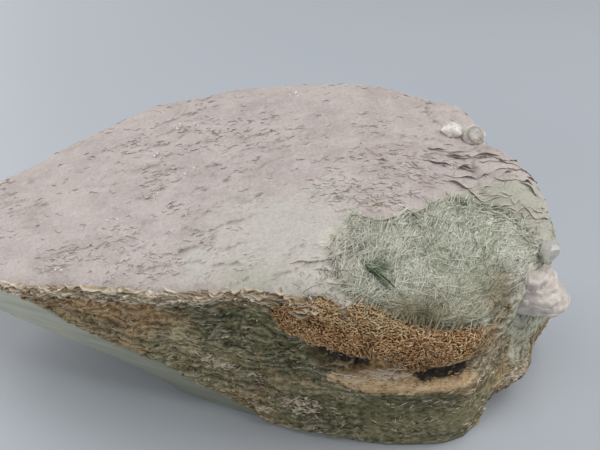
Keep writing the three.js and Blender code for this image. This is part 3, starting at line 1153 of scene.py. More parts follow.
ZONES: dict[str, tuple[Zone, ...]] = {
    "white": (Zone((0.565, 0.26, 0.80), (21, 16, 12)), Zone((0.46, 0.20, 0.72), (8, 7, 9)),
              Zone((0.93, 0.17, 0.65), (9, 14, 10)), Zone((0.61, 0.15, 0.80), (9, 14, 12))),
    "green": (Zone((0.63, 0.10, 0.78), (14, 8, 8)), Zone((0.54, 0.15, 0.76), (12, 9, 9)),
              Zone((0.95, 0.28, 0.72), (10, 16, 16)),
              Zone((0.91, 0.35, 0.84), (13, 10, 6))),
    "flank": (Zone((0.925, 0.17, 0.50), (10, 17, 19)), Zone((0.96, 0.30, 0.66), (8, 14, 14)),
              Zone((0.90, 0.16, 0.47), (9, 14, 9)), Zone((0.96, 0.27, 0.46), (12, 18, 13))),
    "corner": (Zone((0.86, 0.12, 0.37), (8, 10, 7)), Zone((0.91, 0.16, 0.22), (7, 8, 3))),
    "brow": (Zone((0.855, 0.71, 0.93), (8, 9, 8), 0.1), Zone((0.925, 0.45, 0.86), (10, 13, 9), 0.1)),
    "stain": (Zone((0.87, 0.10, 0.68), (12, 8, 7)), Zone((0.72, 0.0, 0.70), (26, 9, 5)),
              Zone((0.62, 0.05, 0.755), (9, 6, 4))),
    # deep: darker patches of felt, and in the zone at (0.70, 0.22, 0.83) painted shadow under the lobed edge of the
    # talc sheet
    "deep": (Zone((0.86, 0.15, 0.73), (12, 8, 6)), Zone((0.845, 0.22, 0.78), (12, 9, 6)), Zone((0.69, 0.12, 0.79), (7, 6, 5)),
             Zone((0.70, 0.22, 0.83), (7, 4, 5))),
    "rust": (Zone((0.608, 0.05, 0.635), (11, 18, 8.0)), Zone((0.695, 0.01, 0.62), (17, 20, 8.2)),
             Zone((0.765, 0.02, 0.57), (13, 20, 8.4))),
    "umber": (Zone((0.345, 0.18, 0.505), (11, 12, 6)), Zone((0.755, 0.03, 0.43), (27, 20, 7)),
              Zone((0.85, 0.07, 0.45), (7, 12, 10)), Zone((0.25, 0.22, 0.53), (16, 12, 5))),
    "ochre": (Zone((0.74, 0.02, 0.375), (23, 16, 2.8), 0.15),),
    # pit: the hollows under the rusty band, sunk into the relief and painted near black as shade
    "pit": (Zone((0.66, 0.035, 0.465), (11, 14, 3.0), 0.15), Zone((0.797, 0.042, 0.398), (10, 14, 2.5), 0.15),
            Zone((0.685, 0.03, 0.466), (14, 14, 1.5), 0.15)),
    "dark": (Zone((0.52, 0.10, 0.53), (17, 16, 9)), Zone((0.585, 0.07, 0.44), (13, 16, 9)),
             Zone((0.63, 0.05, 0.16), (14, 16, 7)), Zone((0.74, 0.02, 0.25), (16, 14, 5)),
             Zone((0.44, 0.11, 0.62), (8, 9, 4))),
    "olive": (Zone((0.70, 0.03, 0.16), (36, 26, 16)), Zone((0.45, 0.14, 0.30), (20, 16, 12))),
    "calm": (Zone((0.76, 0.03, 0.20), (30, 26, 10)), Zone((0.93, 0.17, 0.45), (12, 18, 24)),
             Zone((0.96, 0.30, 0.45), (12, 22, 28))),
    "tan": (Zone((0.431, 0.14, 0.41), (5.5, 12, 6.5)),),
    "ripples": (Zone((0.70, 0.34, 0.87), (15, 8, 8)), Zone((0.32, 0.34, 0.675), (8, 11, 8)),
                Zone((0.26, 0.30, 0.62), (13, 9, 8)),
                Zone((0.365, 0.24, 0.68), (9, 6, 8)), Zone((0.40, 0.425, 0.75), (7, 4, 8)),
                Zone((0.46, 0.68, 0.84), (10, 9, 8)), Zone((0.72, 0.46, 0.92), (20, 12, 8)),
                Zone((0.64, 0.36, 0.89), (10, 9, 8)), Zone((0.424, 0.20, 0.706), (8, 4, 8))),
    "stack": (Zone((0.69, 0.032, 0.422), (9, 9, 1.9), 0.1),),
    "flecks": (Zone((0.595, 0.078, 0.19), (6.5, 8, 3.4)), Zone((0.545, 0.10, 0.103), (3, 8, 2)),
               Zone((0.703, 0.03, 0.116), (6, 8, 1.2)), Zone((0.47, 0.13, 0.33), (6, 8, 2)),
               Zone((0.915, 0.15, 0.225), (5, 8, 3)), Zone((0.77, 0.03, 0.28), (3, 8, 1))),
}


def zone_mark(name: str, points: np.ndarray, box: Box) -> np.ndarray:
    """The strongest mark of the named zones at each point."""
    return np.max([zone.mark(points, box) for zone in ZONES[name]], axis=0)


FELT_BORDER = ((0.58, 0.20), (0.64, 0.21), (0.665, 0.275), (0.678, 0.256), (0.69, 0.246), (0.708, 0.245),
               (0.72, 0.256), (0.731, 0.27), (0.745, 0.279), (0.758, 0.287), (0.77, 0.306), (0.782, 0.326),
               (0.797, 0.350), (0.819, 0.367), (0.838, 0.375), (0.88, 0.34), (0.93, 0.27), (0.99, 0.24))


def past_felt(points: np.ndarray, box: Box) -> np.ndarray:
    """How far each point lies behind the felt's back border, as a share of the block's depth."""
    share = (points - box.low) / (box.high - box.low)
    return share[:, 1] - np.interp(share[:, 0], *zip(*FELT_BORDER))


@dataclass
class SchistBlock:
    """The block: the CAD block's skin, smoothed, then broken into beds and thin plates."""

    box: Box
    voxel: float = 0.62
    triangles: int = 186_000
    pole: tuple[float, float, float] = (-0.14, -0.06, 0.988)
    cut: tuple[float, float, float] = (-0.356, -0.854, -0.38)
    cut_top: tuple[tuple[float, float], ...] = ((0.0, 60.0), (0.159, 38.4), (0.205, 33.2), (0.261, 26.8),
                                                (0.326, 22.2), (0.383, 18.3), (0.426, 13.6), (0.483, 7.3),
                                                (0.55, 0.5))
    cut_foot: tuple[tuple[float, float], ...] = ((0.0, 45.0), (0.132, 24.0), (0.201, 15.6), (0.27, 12.3),
                                                 (0.369, 8.8), (0.449, 5.5), (0.495, 1.6), (0.55, 0.0))
    relax_rounds: int = 150

    def __post_init__(self) -> None:
        """Works out the axes of the layering: along it, down its dip, and its pole."""
        pole = unit(np.array(self.pole))
        along = unit(np.array([1.0, 0, 0]) - pole[0] * pole)
        self.axes = np.array([along, np.cross(pole, along), pole])
        self.cut_way = unit(np.array(self.cut))
        source = Shape.of(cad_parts["schist_block"].data)
        faces = source.face_vectors()
        sawn = np.argmax(np.where(unit(faces) @ self.cut_way > 0.99, np.linalg.norm(faces, axis=1), 0))
        self.cut_at = float(source.points[source.triangles[sawn, 0]] @ self.cut_way)

    def softened(self, shape: Shape) -> Shape:
        """Smooths the flat facets of the CAD block but holds its ridges.

        Args:
            shape: The remeshed block.

        Returns:
            The smoothed block.
        """
        web = Web(shape)
        normals = shape.normals()
        near, wide = (unit(web.smoothed(normals, rounds)) for rounds in (4, 40))
        crest = ease(0.03, 0.14, 1 - dot(near, wide))
        hold = np.clip(1.6 * web.smoothed(crest, 6), 0, 1)
        hold = np.maximum(hold, ease(7.0, 2.0, shape.points[:, 2] - self.box.low[2]))[:, None]
        points = shape.points
        for _ in range(self.relax_rounds):
            points = points + 0.5 * (1 - hold) * (web.mean(points) - points)
        return Shape(points, shape.triangles)

    def flat(self, points: np.ndarray) -> np.ndarray:
        """1 on the two sawn faces, 0 elsewhere."""
        above = points[:, 2] - self.box.low[2]
        share = (points[:, 0] - self.box.low[0]) / (self.box.high[0] - self.box.low[0])
        top, foot = (np.interp(share, *zip(*line)) for line in (self.cut_top, self.cut_foot))
        limit = top + 0.3 * NOISE.rough(points, 7.0, 2, 1.1)
        reach = 0.9 + 5.0 * ease(1.5, -1.5, above - foot)
        depth = self.cut_at - points @ self.cut_way - reach
        return np.maximum(ease(0.3, -0.3, above - limit) * ease(0.6, 0.0, depth), ease(0.9, 0.4, above))

    def layer(self, points: np.ndarray) -> np.ndarray:
        """The height of each point in the folded layering."""
        fold = 4.5 * NOISE.rough(points, 19.0, 2, 8.5) + 0.6 * NOISE.rough(points, 5.0, 2, 5.5)
        return points @ self.axes[2] + fold

    def broken(self, points: np.ndarray) -> np.ndarray:
        """Where the layering is broken open, from 0 to 1."""
        return np.clip(0.45 + 1.5 * NOISE.rough(points, 24.0, 2, 3.1), 0, 1)

    def relief(self, points: np.ndarray, normals: np.ndarray) -> np.ndarray:
        """How far the fine surface stands out from the smooth block.

        Args:
            points: The smooth block's points.
            normals: Their smoothed normals.

        Returns:
            A height at each point.
        """
        top = ease(0.4, 0.62, normals[:, 2])
        warp = 1.6 * NOISE.rough(points, 9.0, 2, 5.5)
        layered = points @ self.axes.T + np.stack([0 * warp, warp, 0.6 * warp], 1)
        wide, _ = NOISE.plates(layered / (9.0, 4.6, 4.0), 1)
        on_top = 0.22 * NOISE.rough(points, 14.0, 4) - 0.22 * self.broken(points) * wide
        on_top += 0.05 * NOISE.rough(points, 1.7, 2, 9.9) + 3.0 * zone_mark("brow", points, self.box)
        folded = np.column_stack([points @ self.axes[:2].T, self.layer(points)])
        _, slab = NOISE.plates(folded / (20.0, 18.0, 5.5) + 40, 2)
        ledge, stand = NOISE.plates(folded / (9.0, 8.0, 2.4) + 80, 2)
        leaf, poke = NOISE.plates(folded / (3.6, 3.4, 1.1) + 120, 2)
        rust = zone_mark("rust", points, self.box)
        calm = np.maximum(zone_mark("calm", points, self.box), 0.6 * rust)
        calm = np.maximum(calm, 0.5 * ease(0.1, 0.6, normals[:, 1]))
        steps = 1.3 * (slab - 0.5) + 0.4 * ledge + 0.5 * (stand - 0.5) + 0.2 * leaf + 0.2 * (poke - 0.5)
        side = (0.9 - 0.4 * calm) * NOISE.rough(points, 9.0, 4, 1.7) + (1 - 0.8 * calm) * steps
        side += 0.3 * NOISE.rough(points, 2.6, 3, 9.9) + 1.2 * rust * ease(0.3, 0.7, rust)
        side += 1.2 * zone_mark("ochre", points, self.box) - 3.6 * zone_mark("pit", points, self.box)
        return top * on_top + (1 - top) * side

    def marked(self, shape: Shape, lie: np.ndarray, felt: Shape) -> Shape:
        """Adds the marks that the finish and the small things read.

        Args:
            shape: The finished surface.
            lie: The normal of the smooth block at each of its points.
            felt: The felt's body, near which the surface is felted too.

        Returns:
            The same shape with its marks.
        """
        web = Web(shape)
        points = shape.points
        marks = {name: zone_mark(name, points, self.box) for name in ZONES}
        marks["layer"] = self.layer(points)
        tree = BVHTree.FromPolygons(felt.points.tolist(), felt.triangles.tolist())
        away = np.array([tree.find_nearest(point)[3] for point in points.tolist()])
        marks["felted"] = np.clip(1.0 - away / 7.0 + 0.3 * NOISE.rough(points, 6.0, 3, 3.3), 0, 1)
        marks["felted"] *= 1 - ease(0.25, 0.55, np.maximum(marks["rust"], marks["umber"]))
        marks["felted"] *= ease(0.05, 0.0, past_felt(points, self.box))
        marks["cream"] = np.zeros(len(points))
        marks["sawn"] = self.flat(points)
        marks["top"] = np.clip(0.5 + 2.2 * (lie[:, 2] - 0.52), 0, 1)
        marks["top"] *= 1 - ease(0.3, 0.6, marks["rust"])
        marks["behind"] = np.clip(0.5 + 2.0 * lie[:, 1] + 0.5 * (points[:, 1] > 0), 0, 1)
        marks["behind"] *= points[:, 1] > self.box.at(0, 0.35, 0)[1]
        marks["broken"] = self.broken(points)
        # hollow marks concave places for painted shade and dirt
        dip = dot(web.smoothed(web.mean(points) - points, 1), shape.normals())
        marks["hollow"] = ease(0.01, 0.09, dip)
        # rim: a painted highlight, with some pale wear, on convex crests
        marks["rim"] = 0.6 * ease(0.03, 0.1, -dip)
        near_top = web.smoothed((lie[:, 2] > 0.5).astype(float), 120)
        marks["ridge"] = ease(0.08, 0.34, near_top) * (lie[:, 2] < 0.6) * ease(0.1, 0.5, -lie[:, 1])
        marks["ridge"] *= ease(0.62, 0.52, points[:, 0] / self.box.high[0] * 0.5 + 0.5)
        return Shape(points, shape.triangles, marks)

    def shape(self, felt: Shape) -> Shape:
        """The finished surface of the block round the felt, with its marks."""
        source = Shape.of(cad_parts["schist_block"].data)
        smooth = self.softened(source.remeshed(self.voxel))
        normals = unit(Web(smooth).smoothed(smooth.normals(), 20))
        height = self.relief(smooth.points, normals) * (1 - self.flat(smooth.points))
        height *= ease(0.2, 1.6, smooth.points[:, 2] - self.box.low[2])
        raised = Shape(smooth.points + height[:, None] * normals, smooth.triangles)
        raised.points[:, 2] = np.maximum(raised.points[:, 2], self.box.low[2])
        fine = raised.thinned(self.triangles)
        lie = Ground(smooth, spread=20).nearest(fine.points).normals
        return self.marked(fine, lie, felt)


@dataclass
class FoliationFlakes:
    """Thin plates of schist that stand free at their edges, on the top, the ridge and the front."""

    block: SchistBlock
    ground: Ground

    top_kind: Flake = Flake((1.6, 5.5), (0.8, 1.7), (0.05, 0.3), 0.08, 7, lobes=0.35, sink=0.3, taper=1.0)
    ridge_kind: Flake = Flake((2.5, 8.0), (2.0, 3.2), (0.0, 0.3), 0.55, 9, wave=0.3, follow=0.0, taper=0.4)
    chip_kind: Flake = Flake((0.8, 3.4), (0.8, 1.8), (0.0, 0.25), 0.22, wave=0.5, follow=0.0)
    stack_kind: Flake = Flake((3.5, 8.0), (1.8, 2.8), (0.0, 0.3), 0.45, 9, wave=0.2, follow=0.0, taper=0.4)
    counts: tuple[int, int, int] = (1500, 380, 1300)
    stack: int = 26

    def headed(self, seats: Seats, heading: float, spread: float, rng: np.random.Generator) -> np.ndarray:
        """Directions about a heading in the plan, in degrees from +X, turned where the surface slopes."""
        drift = 14 * NOISE.rough(seats.points, 16.0, 1, 2.2)
        drift += 25 * seats.normals[:, 0] / np.maximum(seats.normals[:, 2], 0.3)
        angle = np.radians(heading + drift + rng.normal(0, spread, len(seats.points)))
        return np.stack([np.cos(angle), np.sin(angle), 0 * angle], 1)

    def on_top(self) -> Shape:
        """Small plates in groups over the top, their free edges to the front."""
        rng = np.random.default_rng(21)
        marks = self.ground.shape.marks
        patchy = NOISE.rough(self.ground.shape.points, 11.0, 2, 6.4)
        groups = 0.3 * ease(0.3, 0.8, marks["broken"]) * ease(-0.15, 0.35, patchy) + 0.05
        groups += 0.7 * ease(0.3, 0.9, marks["ripples"])
        likely = ease(0.5, 0.7, marks["top"]) * groups * (1 - 0.75 * marks["white"])
        likely *= 1 - ease(0.6, 0.9, marks["felted"])
        seats = self.ground.seats(likely, self.counts[0], rng)
        outward = self.headed(seats, -90, 14, rng)
        return self.top_kind.made(self.ground, seats, outward, seats.normals, rng)

    def layered(self, seats: Seats, scatter: float, rng: np.random.Generator) -> tuple[np.ndarray, np.ndarray]:
        """For plates in the layering: the way out of the face, and the pole that they nearly face along."""
        pole = unit(self.block.axes[2] + rng.normal(0, scatter, seats.normals.shape))
        return across(pole, seats.normals), pole

    def on_ridge(self) -> Shape:
        """Small ragged plates along the front ridge, and a stack of pale ones below the rusty band."""
        rng = np.random.default_rng(22)
        marks, points = self.ground.shape.marks, self.ground.shape.points
        seats = self.ground.seats(marks["ridge"] * (1 - marks["sawn"]), self.counts[1], rng)
        outward, pole = self.layered(seats, 0.08, rng)
        chosen = rng.random(len(outward)) > 0.35
        seats.marks["cream"] = 0.9 * chosen * rng.uniform(0.3, 1, len(outward))
        seats.marks["ridge"] = 1 - chosen
        seats.marks["top"] = 0 * chosen
        ridge = self.ridge_kind.made(self.ground, seats, outward, pole, rng)
        low = ease(0.3, 0.7, marks["stack"]) * ease(0.3, 0.1, marks["pit"])
        seats = self.ground.seats(low, self.stack, rng)
        outward, pole = self.layered(seats, 0.05, rng)
        seats.marks["cream"] = rng.uniform(0.6, 1.0, len(outward))
        seats.marks["hollow"] = 0 * seats.marks["cream"]
        seats.marks["pit"] = 0 * seats.marks["cream"]
        return Shape.joined([ridge, self.stack_kind.made(self.ground, seats, outward, pole, rng)])

    def on_sides(self) -> Shape:
        """Chips that stand out of the weathered faces along the layering."""
        rng = np.random.default_rng(23)
        marks, points = self.ground.shape.marks, self.ground.shape.points
        bare = (1 - marks["sawn"]) * (1 - ease(0.3, 0.5, marks["top"])) * (1 - 0.9 * marks["rust"])
        bare *= ease(2.5, 4.5, points[:, 2] - self.block.box.low[2]) * (1 - 0.8 * marks["calm"])
        bare *= 1 + ease(0.3, 0.6, marks["corner"])
        flecks = ease(0.3, 0.6, marks["flecks"])
        likely = bare * (0.16 + 5 * flecks) * ease(-0.3, -0.1, self.ground.normals[:, 2])
        seats = self.ground.seats(likely * (1 - ease(0.3, 0.6, marks["pit"])), self.counts[2], rng)
        outward, pole = self.layered(seats, 0.3, rng)
        pale = np.maximum(seats.marks["flecks"], seats.marks["corner"])
        chosen = rng.random(len(outward)) > 0.8 - 0.75 * ease(0.3, 0.6, pale)
        seats.marks["cream"] = chosen * rng.uniform(0.8, 1, len(outward))
        seats.marks["hollow"] = 0 * chosen
        return self.chip_kind.made(self.ground, seats, outward, pole, rng)

    def build(self, shop: Workshop, finish: Finish) -> None:
        """Makes the plates as three pieces."""
        shop.piece("schist_top_flakes", self.on_top(), finish)
        shop.piece("schist_ridge_flakes", self.on_ridge(), finish)
        shop.piece("schist_side_chips", self.on_sides(), finish)


@dataclass(frozen=True)
class Sheet:
    """A broad thin plate that drapes over the block behind a scalloped front edge."""

    edge: tuple[tuple[float, float], ...]
    depth: float
    lift: float
    scallop: float
    seed: float
    tint: str = "calm"
    thickness: float = 0.32
    columns: int = 90
    rows: int = 14

    def made(self, box: Box, ground: Ground) -> Shape:
        """The plate as a closed shape.

        Args:
            box: The block's box, of which the edge gives shares of the length and depth.
            ground: The surface that the plate lies on.

        Returns:
            The plate, with `rim` for a painted highlight at its edge, `under` for painted shade below and the marks of
            the block's top.
        """
        t = np.linspace(0, 1, self.columns)
        knots = np.array([box.at(x, y, 1.3) for x, y in self.edge])
        line = np.stack([np.interp(t, np.linspace(0, 1, len(knots)), knots[:, k]) for k in range(3)], 1)
        for _ in range(self.columns // 8):
            line[1:-1] = 0.25 * line[:-2] + 0.5 * line[1:-1] + 0.25 * line[2:]
        wander = NOISE.rough(line + (0, 0, self.seed), 7.0, 2)
        lobes = np.abs(np.sin(line[:, 0] / 2.3 + 3.0 * wander + self.seed))
        line[:, 1] -= self.scallop * lobes + 0.3 * NOISE.rough(line + (0, 0, 2 * self.seed), 1.6, 2)
        v = np.linspace(0, 1, self.rows)[:, None] ** 1.5 * np.ones(self.columns)
        above = np.repeat(line[None], self.rows, axis=0)
        above[..., 1] += self.depth * v
        flat = above.reshape(-1, 3)
        down = np.tile((0.0, 0.0, -1.0), (len(flat), 1))
        ground_z = (flat[:, 2] - ground.under(flat, down, 200.0)).reshape(v.shape)
        for _ in range(8):
            padded = np.pad(ground_z, 1, mode="edge")
            beside = padded[:-2, 1:-1] + padded[2:, 1:-1] + padded[1:-1, :-2] + padded[1:-1, 2:]
            ground_z = 0.5 * ground_z + 0.125 * beside
        ends = 1 - np.abs(2 * t - 1) ** 6
        height = (self.lift + 0.5) * (1 - 0.6 * v) * ends * (1 - v**6) - 0.5
        flat[:, 2] = (ground_z + height).ravel()
        lower = flat - (0, 0, self.thickness)
        skin = Flake((1, 1), (1, 1), (0, 0), columns=self.columns, rows=self.rows).grid()[2]
        points = np.concatenate([flat, lower])
        marks = {"top": np.ones(len(points)), self.tint: np.ones(len(points))}
        # rim: painted highlight on the front edge; under: painted shade on the lower skin
        marks["rim"] = np.tile(ease(0.05, 0.0, v).ravel(), 2)
        marks["under"] = np.repeat((0.0, 1.0), len(flat))
        marks["ripples"] = zone_mark("ripples", points, box)
        return Shape(points, skin[:, ::-1], marks)


@dataclass(frozen=True)
class Ledges:
    """Torn edges of thin sheets that stand out of a steep face, one above the other."""

    path: tuple[tuple[float, float, float], ...]
    heights: tuple[float, ...]
    stand: float
    swing: float
    seed: float
    wave: float = 0.6
    columns: int = 300
    rows: int = 5
    thickness: float = 0.9
    depth: float = 3.0

    def made(self, block: SchistBlock, ground: Ground) -> Shape:
        """The sheets as one shape.

        Args:
            block: The block, whose layering the sheets follow.
            ground: The face that they stand out of.

        Returns:
            The sheets, with `rim` for a painted highlight at their edges, `under` for painted shade below and a `cream`
            tint that is raised at the edges as a painted highlight.
        """
        t = np.linspace(0, 1, self.columns)
        knots = np.array([block.box.at(*share) for share in self.path])
        line = np.stack([np.interp(t, np.linspace(0, 1, len(knots)), knots[:, k]) for k in range(3)], 1)
        outward = unit(np.cross(knots[-1] - knots[0], (0.0, 0.0, 1.0)))
        pole = block.axes[2]
        skin = Flake((1, 1), (1, 1), (0, 0), columns=self.columns, rows=self.rows).grid()[2]
        v = np.linspace(0, 1, self.rows)[:, None]
        ends = 1 - np.abs(2 * t - 1) ** 10
        sheets = []
        for number, level in enumerate(self.heights):
            moved = line + (0, 0, self.seed + 9.0 * number)
            narrow = 0.3 + 0.7 * ease(0.0, 0.25, t)
            base = line + (level * narrow + self.wave * NOISE.rough(moved, 12.0, 3))[:, None] * pole
            front = self.face(base, outward, ground)
            stand = self.stand + self.swing * NOISE.rough(moved, 9.0, 3, 2.7)
            stand = stand * ends - 1.5 * (1 - ends)
            reach = stand * (1 - v) - self.depth * v
            upper = front + reach[..., None] * outward
            far = (upper + (0, 0, 9.0 * number)).reshape(-1, 3)
            curl = 0.3 * NOISE.rough(far, 6.0, 2).reshape(v.size, -1)
            upper = upper + (curl * (1 - v))[..., None] * pole
            thick = self.thickness * (0.8 + 1.2 * NOISE.rough(far, 5.0, 2, 4.1)).reshape(v.size, -1)
            points = np.concatenate([upper, upper - thick[..., None] * pole]).reshape(-1, 3)
            edge = np.tile(ease(0.3, 0.0, np.repeat(v, self.columns, axis=1)).ravel(), 2)
            lower = np.repeat((0.0, 1.0), self.rows * self.columns)
            # cream: the sheets' own pale tint, raised at the torn edge as a painted highlight; under paints shade on
            # the lower skin, kept off the edge
            cream = np.clip(0.35 + 0.8 * NOISE.rough(points, 4.0, 2, self.seed) + 0.4 * edge, 0.05, 1)
            marks = {"cream": cream, "under": lower * (1 - 0.8 * edge), "calm": 1 + 0 * lower, "rim": edge}
            sheets.append(Shape(points, skin, marks))
        return Shape.joined(sheets)

    def face(self, base: np.ndarray, outward: np.ndarray, ground: Ground) -> np.ndarray:
        """The points of a steep face that lie level with a line.

        Args:
            base: The points of the line.
            outward: The way out of the face.
            ground: The surface.

        Returns:
            For each point of the line, the one on the surface, smoothed along the line.
        """
        away = 14.0
        far = ground.under(base + away * outward, np.tile(-outward, (len(base), 1)), 2 * away)
        order, hit = np.arange(len(far)), far < 1.9 * away
        far = np.interp(order, order[hit], far[hit])
        for _ in range(10):
            far[1:-1] = 0.25 * far[:-2] + 0.5 * far[1:-1] + 0.25 * far[2:]
        return base + (away - far)[:, None] * outward


@dataclass
class EdgePlates:
    """Wavy plates stacked at the right crest, and broad sheets that end over the felt."""

    block: SchistBlock
    wavy: Flake = Flake((3.5, 13.0), (1.8, 3.6), (0.25, 0.8), 0.16, 14, 4, 0.24, 0.5, 0.6, 1.2, 0.5)
    rows: int = 20
    per_row: int = 5
    steepest: float = 0.6
    sheets: tuple[Sheet, ...] = (
        Sheet(FELT_BORDER[2:14], 12.0, 0.75, 0.25, 4.0),
        Sheet(((0.572, 0.137), (0.60, 0.128), (0.625, 0.133), (0.652, 0.152)), 6.5, 0.6, 0.35, 15.0, "white",
              columns=70),
        Sheet(((0.606, 0.103), (0.622, 0.108), (0.64, 0.112), (0.657, 0.13)), 4.0, 0.55, 0.35, 17.4, "white",
              columns=50),
        Sheet(((0.624, 0.076), (0.64, 0.072), (0.658, 0.09)), 4.0, 0.5, 0.3, 23.7, "white", columns=36),
        Sheet(((0.67, 0.207), (0.68, 0.202), (0.694, 0.205)), 3.5, 0.5, 0.2, 25.0, columns=30, rows=8),
    )
    ledges: tuple[Ledges, ...] = (
        Ledges(((0.10, 0.31, 0.515), (0.169, 0.261, 0.555), (0.248, 0.233, 0.596), (0.31, 0.195, 0.62),
                (0.386, 0.142, 0.671), (0.457, 0.108, 0.705), (0.505, 0.084, 0.713), (0.56, 0.057, 0.724)),
               (-1.1, -2.8, -4.6), -0.3, 3.4, 3.0),
    )

    def broad(self, ground: Ground) -> Shape:
        """The broad sheets."""
        return Shape.joined([sheet.made(self.block.box, ground) for sheet in self.sheets])

    def stacked(self, ground: Ground) -> Shape:
        """Rows of wavy plates down the right crest."""
        rng = np.random.default_rng(31)
        shares = [
            (0.79 + 0.0063 * row + 0.036 * k + rng.uniform(-0.03, 0.03),
             0.54 - 0.0147 * row - 0.010 * k + rng.uniform(-0.012, 0.012))
            for row in range(self.rows) for k in range(self.per_row)
        ]
        above = np.array([self.block.box.at(x, y, 1.3) for x, y in shares])
        down = np.tile((0.0, 0.0, -1.0), (len(above), 1))
        seats = ground.nearest(above + ground.under(above, down, 200.0)[:, None] * down)
        seats.marks["top"] = np.ones(len(above))
        seats.marks["felted"] = 0.3 * seats.marks["felted"]
        seats = seats.kept(seats.normals[:, 2] > self.steepest)
        drift = np.radians(-90 + rng.normal(0, 14, len(seats.points)))
        outward = np.stack([np.cos(drift), np.sin(drift), 0 * drift], 1)
        return self.wavy.made(ground, seats, outward, seats.normals, rng)

    def build(self, shop: Workshop, finish: Finish, broad: Shape, ground: Ground) -> None:
        """Makes the plates as three pieces."""
        shop.piece("schist_broad_sheets", broad, finish)
        torn = Shape.joined([ledges.made(self.block, ground) for ledges in self.ledges])
        shop.piece("schist_torn_ledges", torn, finish, 35)
        shop.piece("schist_edge_plates", self.stacked(ground), finish)


@dataclass
class FeltBed:
    """The felt's body: the CAD lens, grown to fill its seat, with a matted surface."""

    box: Box
    voxel: float = 0.7
    grow: float = 0.25

    def shape(self) -> Shape:
        """The body with its marks."""
        source = Shape.of(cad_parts["actinolite_needle_mass"].data).remeshed(self.voxel)
        web = Web(source)
        points = source.points
        for _ in range(30):
            points = 0.5 * (points + web.mean(points))
        soft = Shape(points, source.triangles)
        normals = unit(web.smoothed(soft.normals(), 4))
        height = self.grow + 0.25 * NOISE.rough(points, 6.0, 3) + 0.08 * NOISE.rough(points, 1.6, 2)
        shape = Shape(points + height[:, None] * normals, source.triangles)
        # deep lowers the tone: darker felt, and painted shadow under the sheet's edge
        tone = 0.4 + 0.3 * NOISE.rough(points, 2.0, 3) - 0.3 * zone_mark("deep", points, self.box)
        shape.marks["tone"] = np.clip(tone, 0, 1)
        for name in ("stain", "white"):
            shape.marks[name] = zone_mark(name, points, self.box)
        shape.marks["felt"] = (shape.normals()[:, 2] > -0.1).astype(float)
        return shape


@dataclass(frozen=True)
class Hairs:
    """A kind of needle, with ranges for its sizes, and how many are laid together in a sheaf."""

    sheaves: int
    per_sheaf: int
    length: tuple[float, float]
    radius: tuple[float, float]
    stations: tuple[float, ...]
    turn: float
    rise: float
    tone: float = 0.65


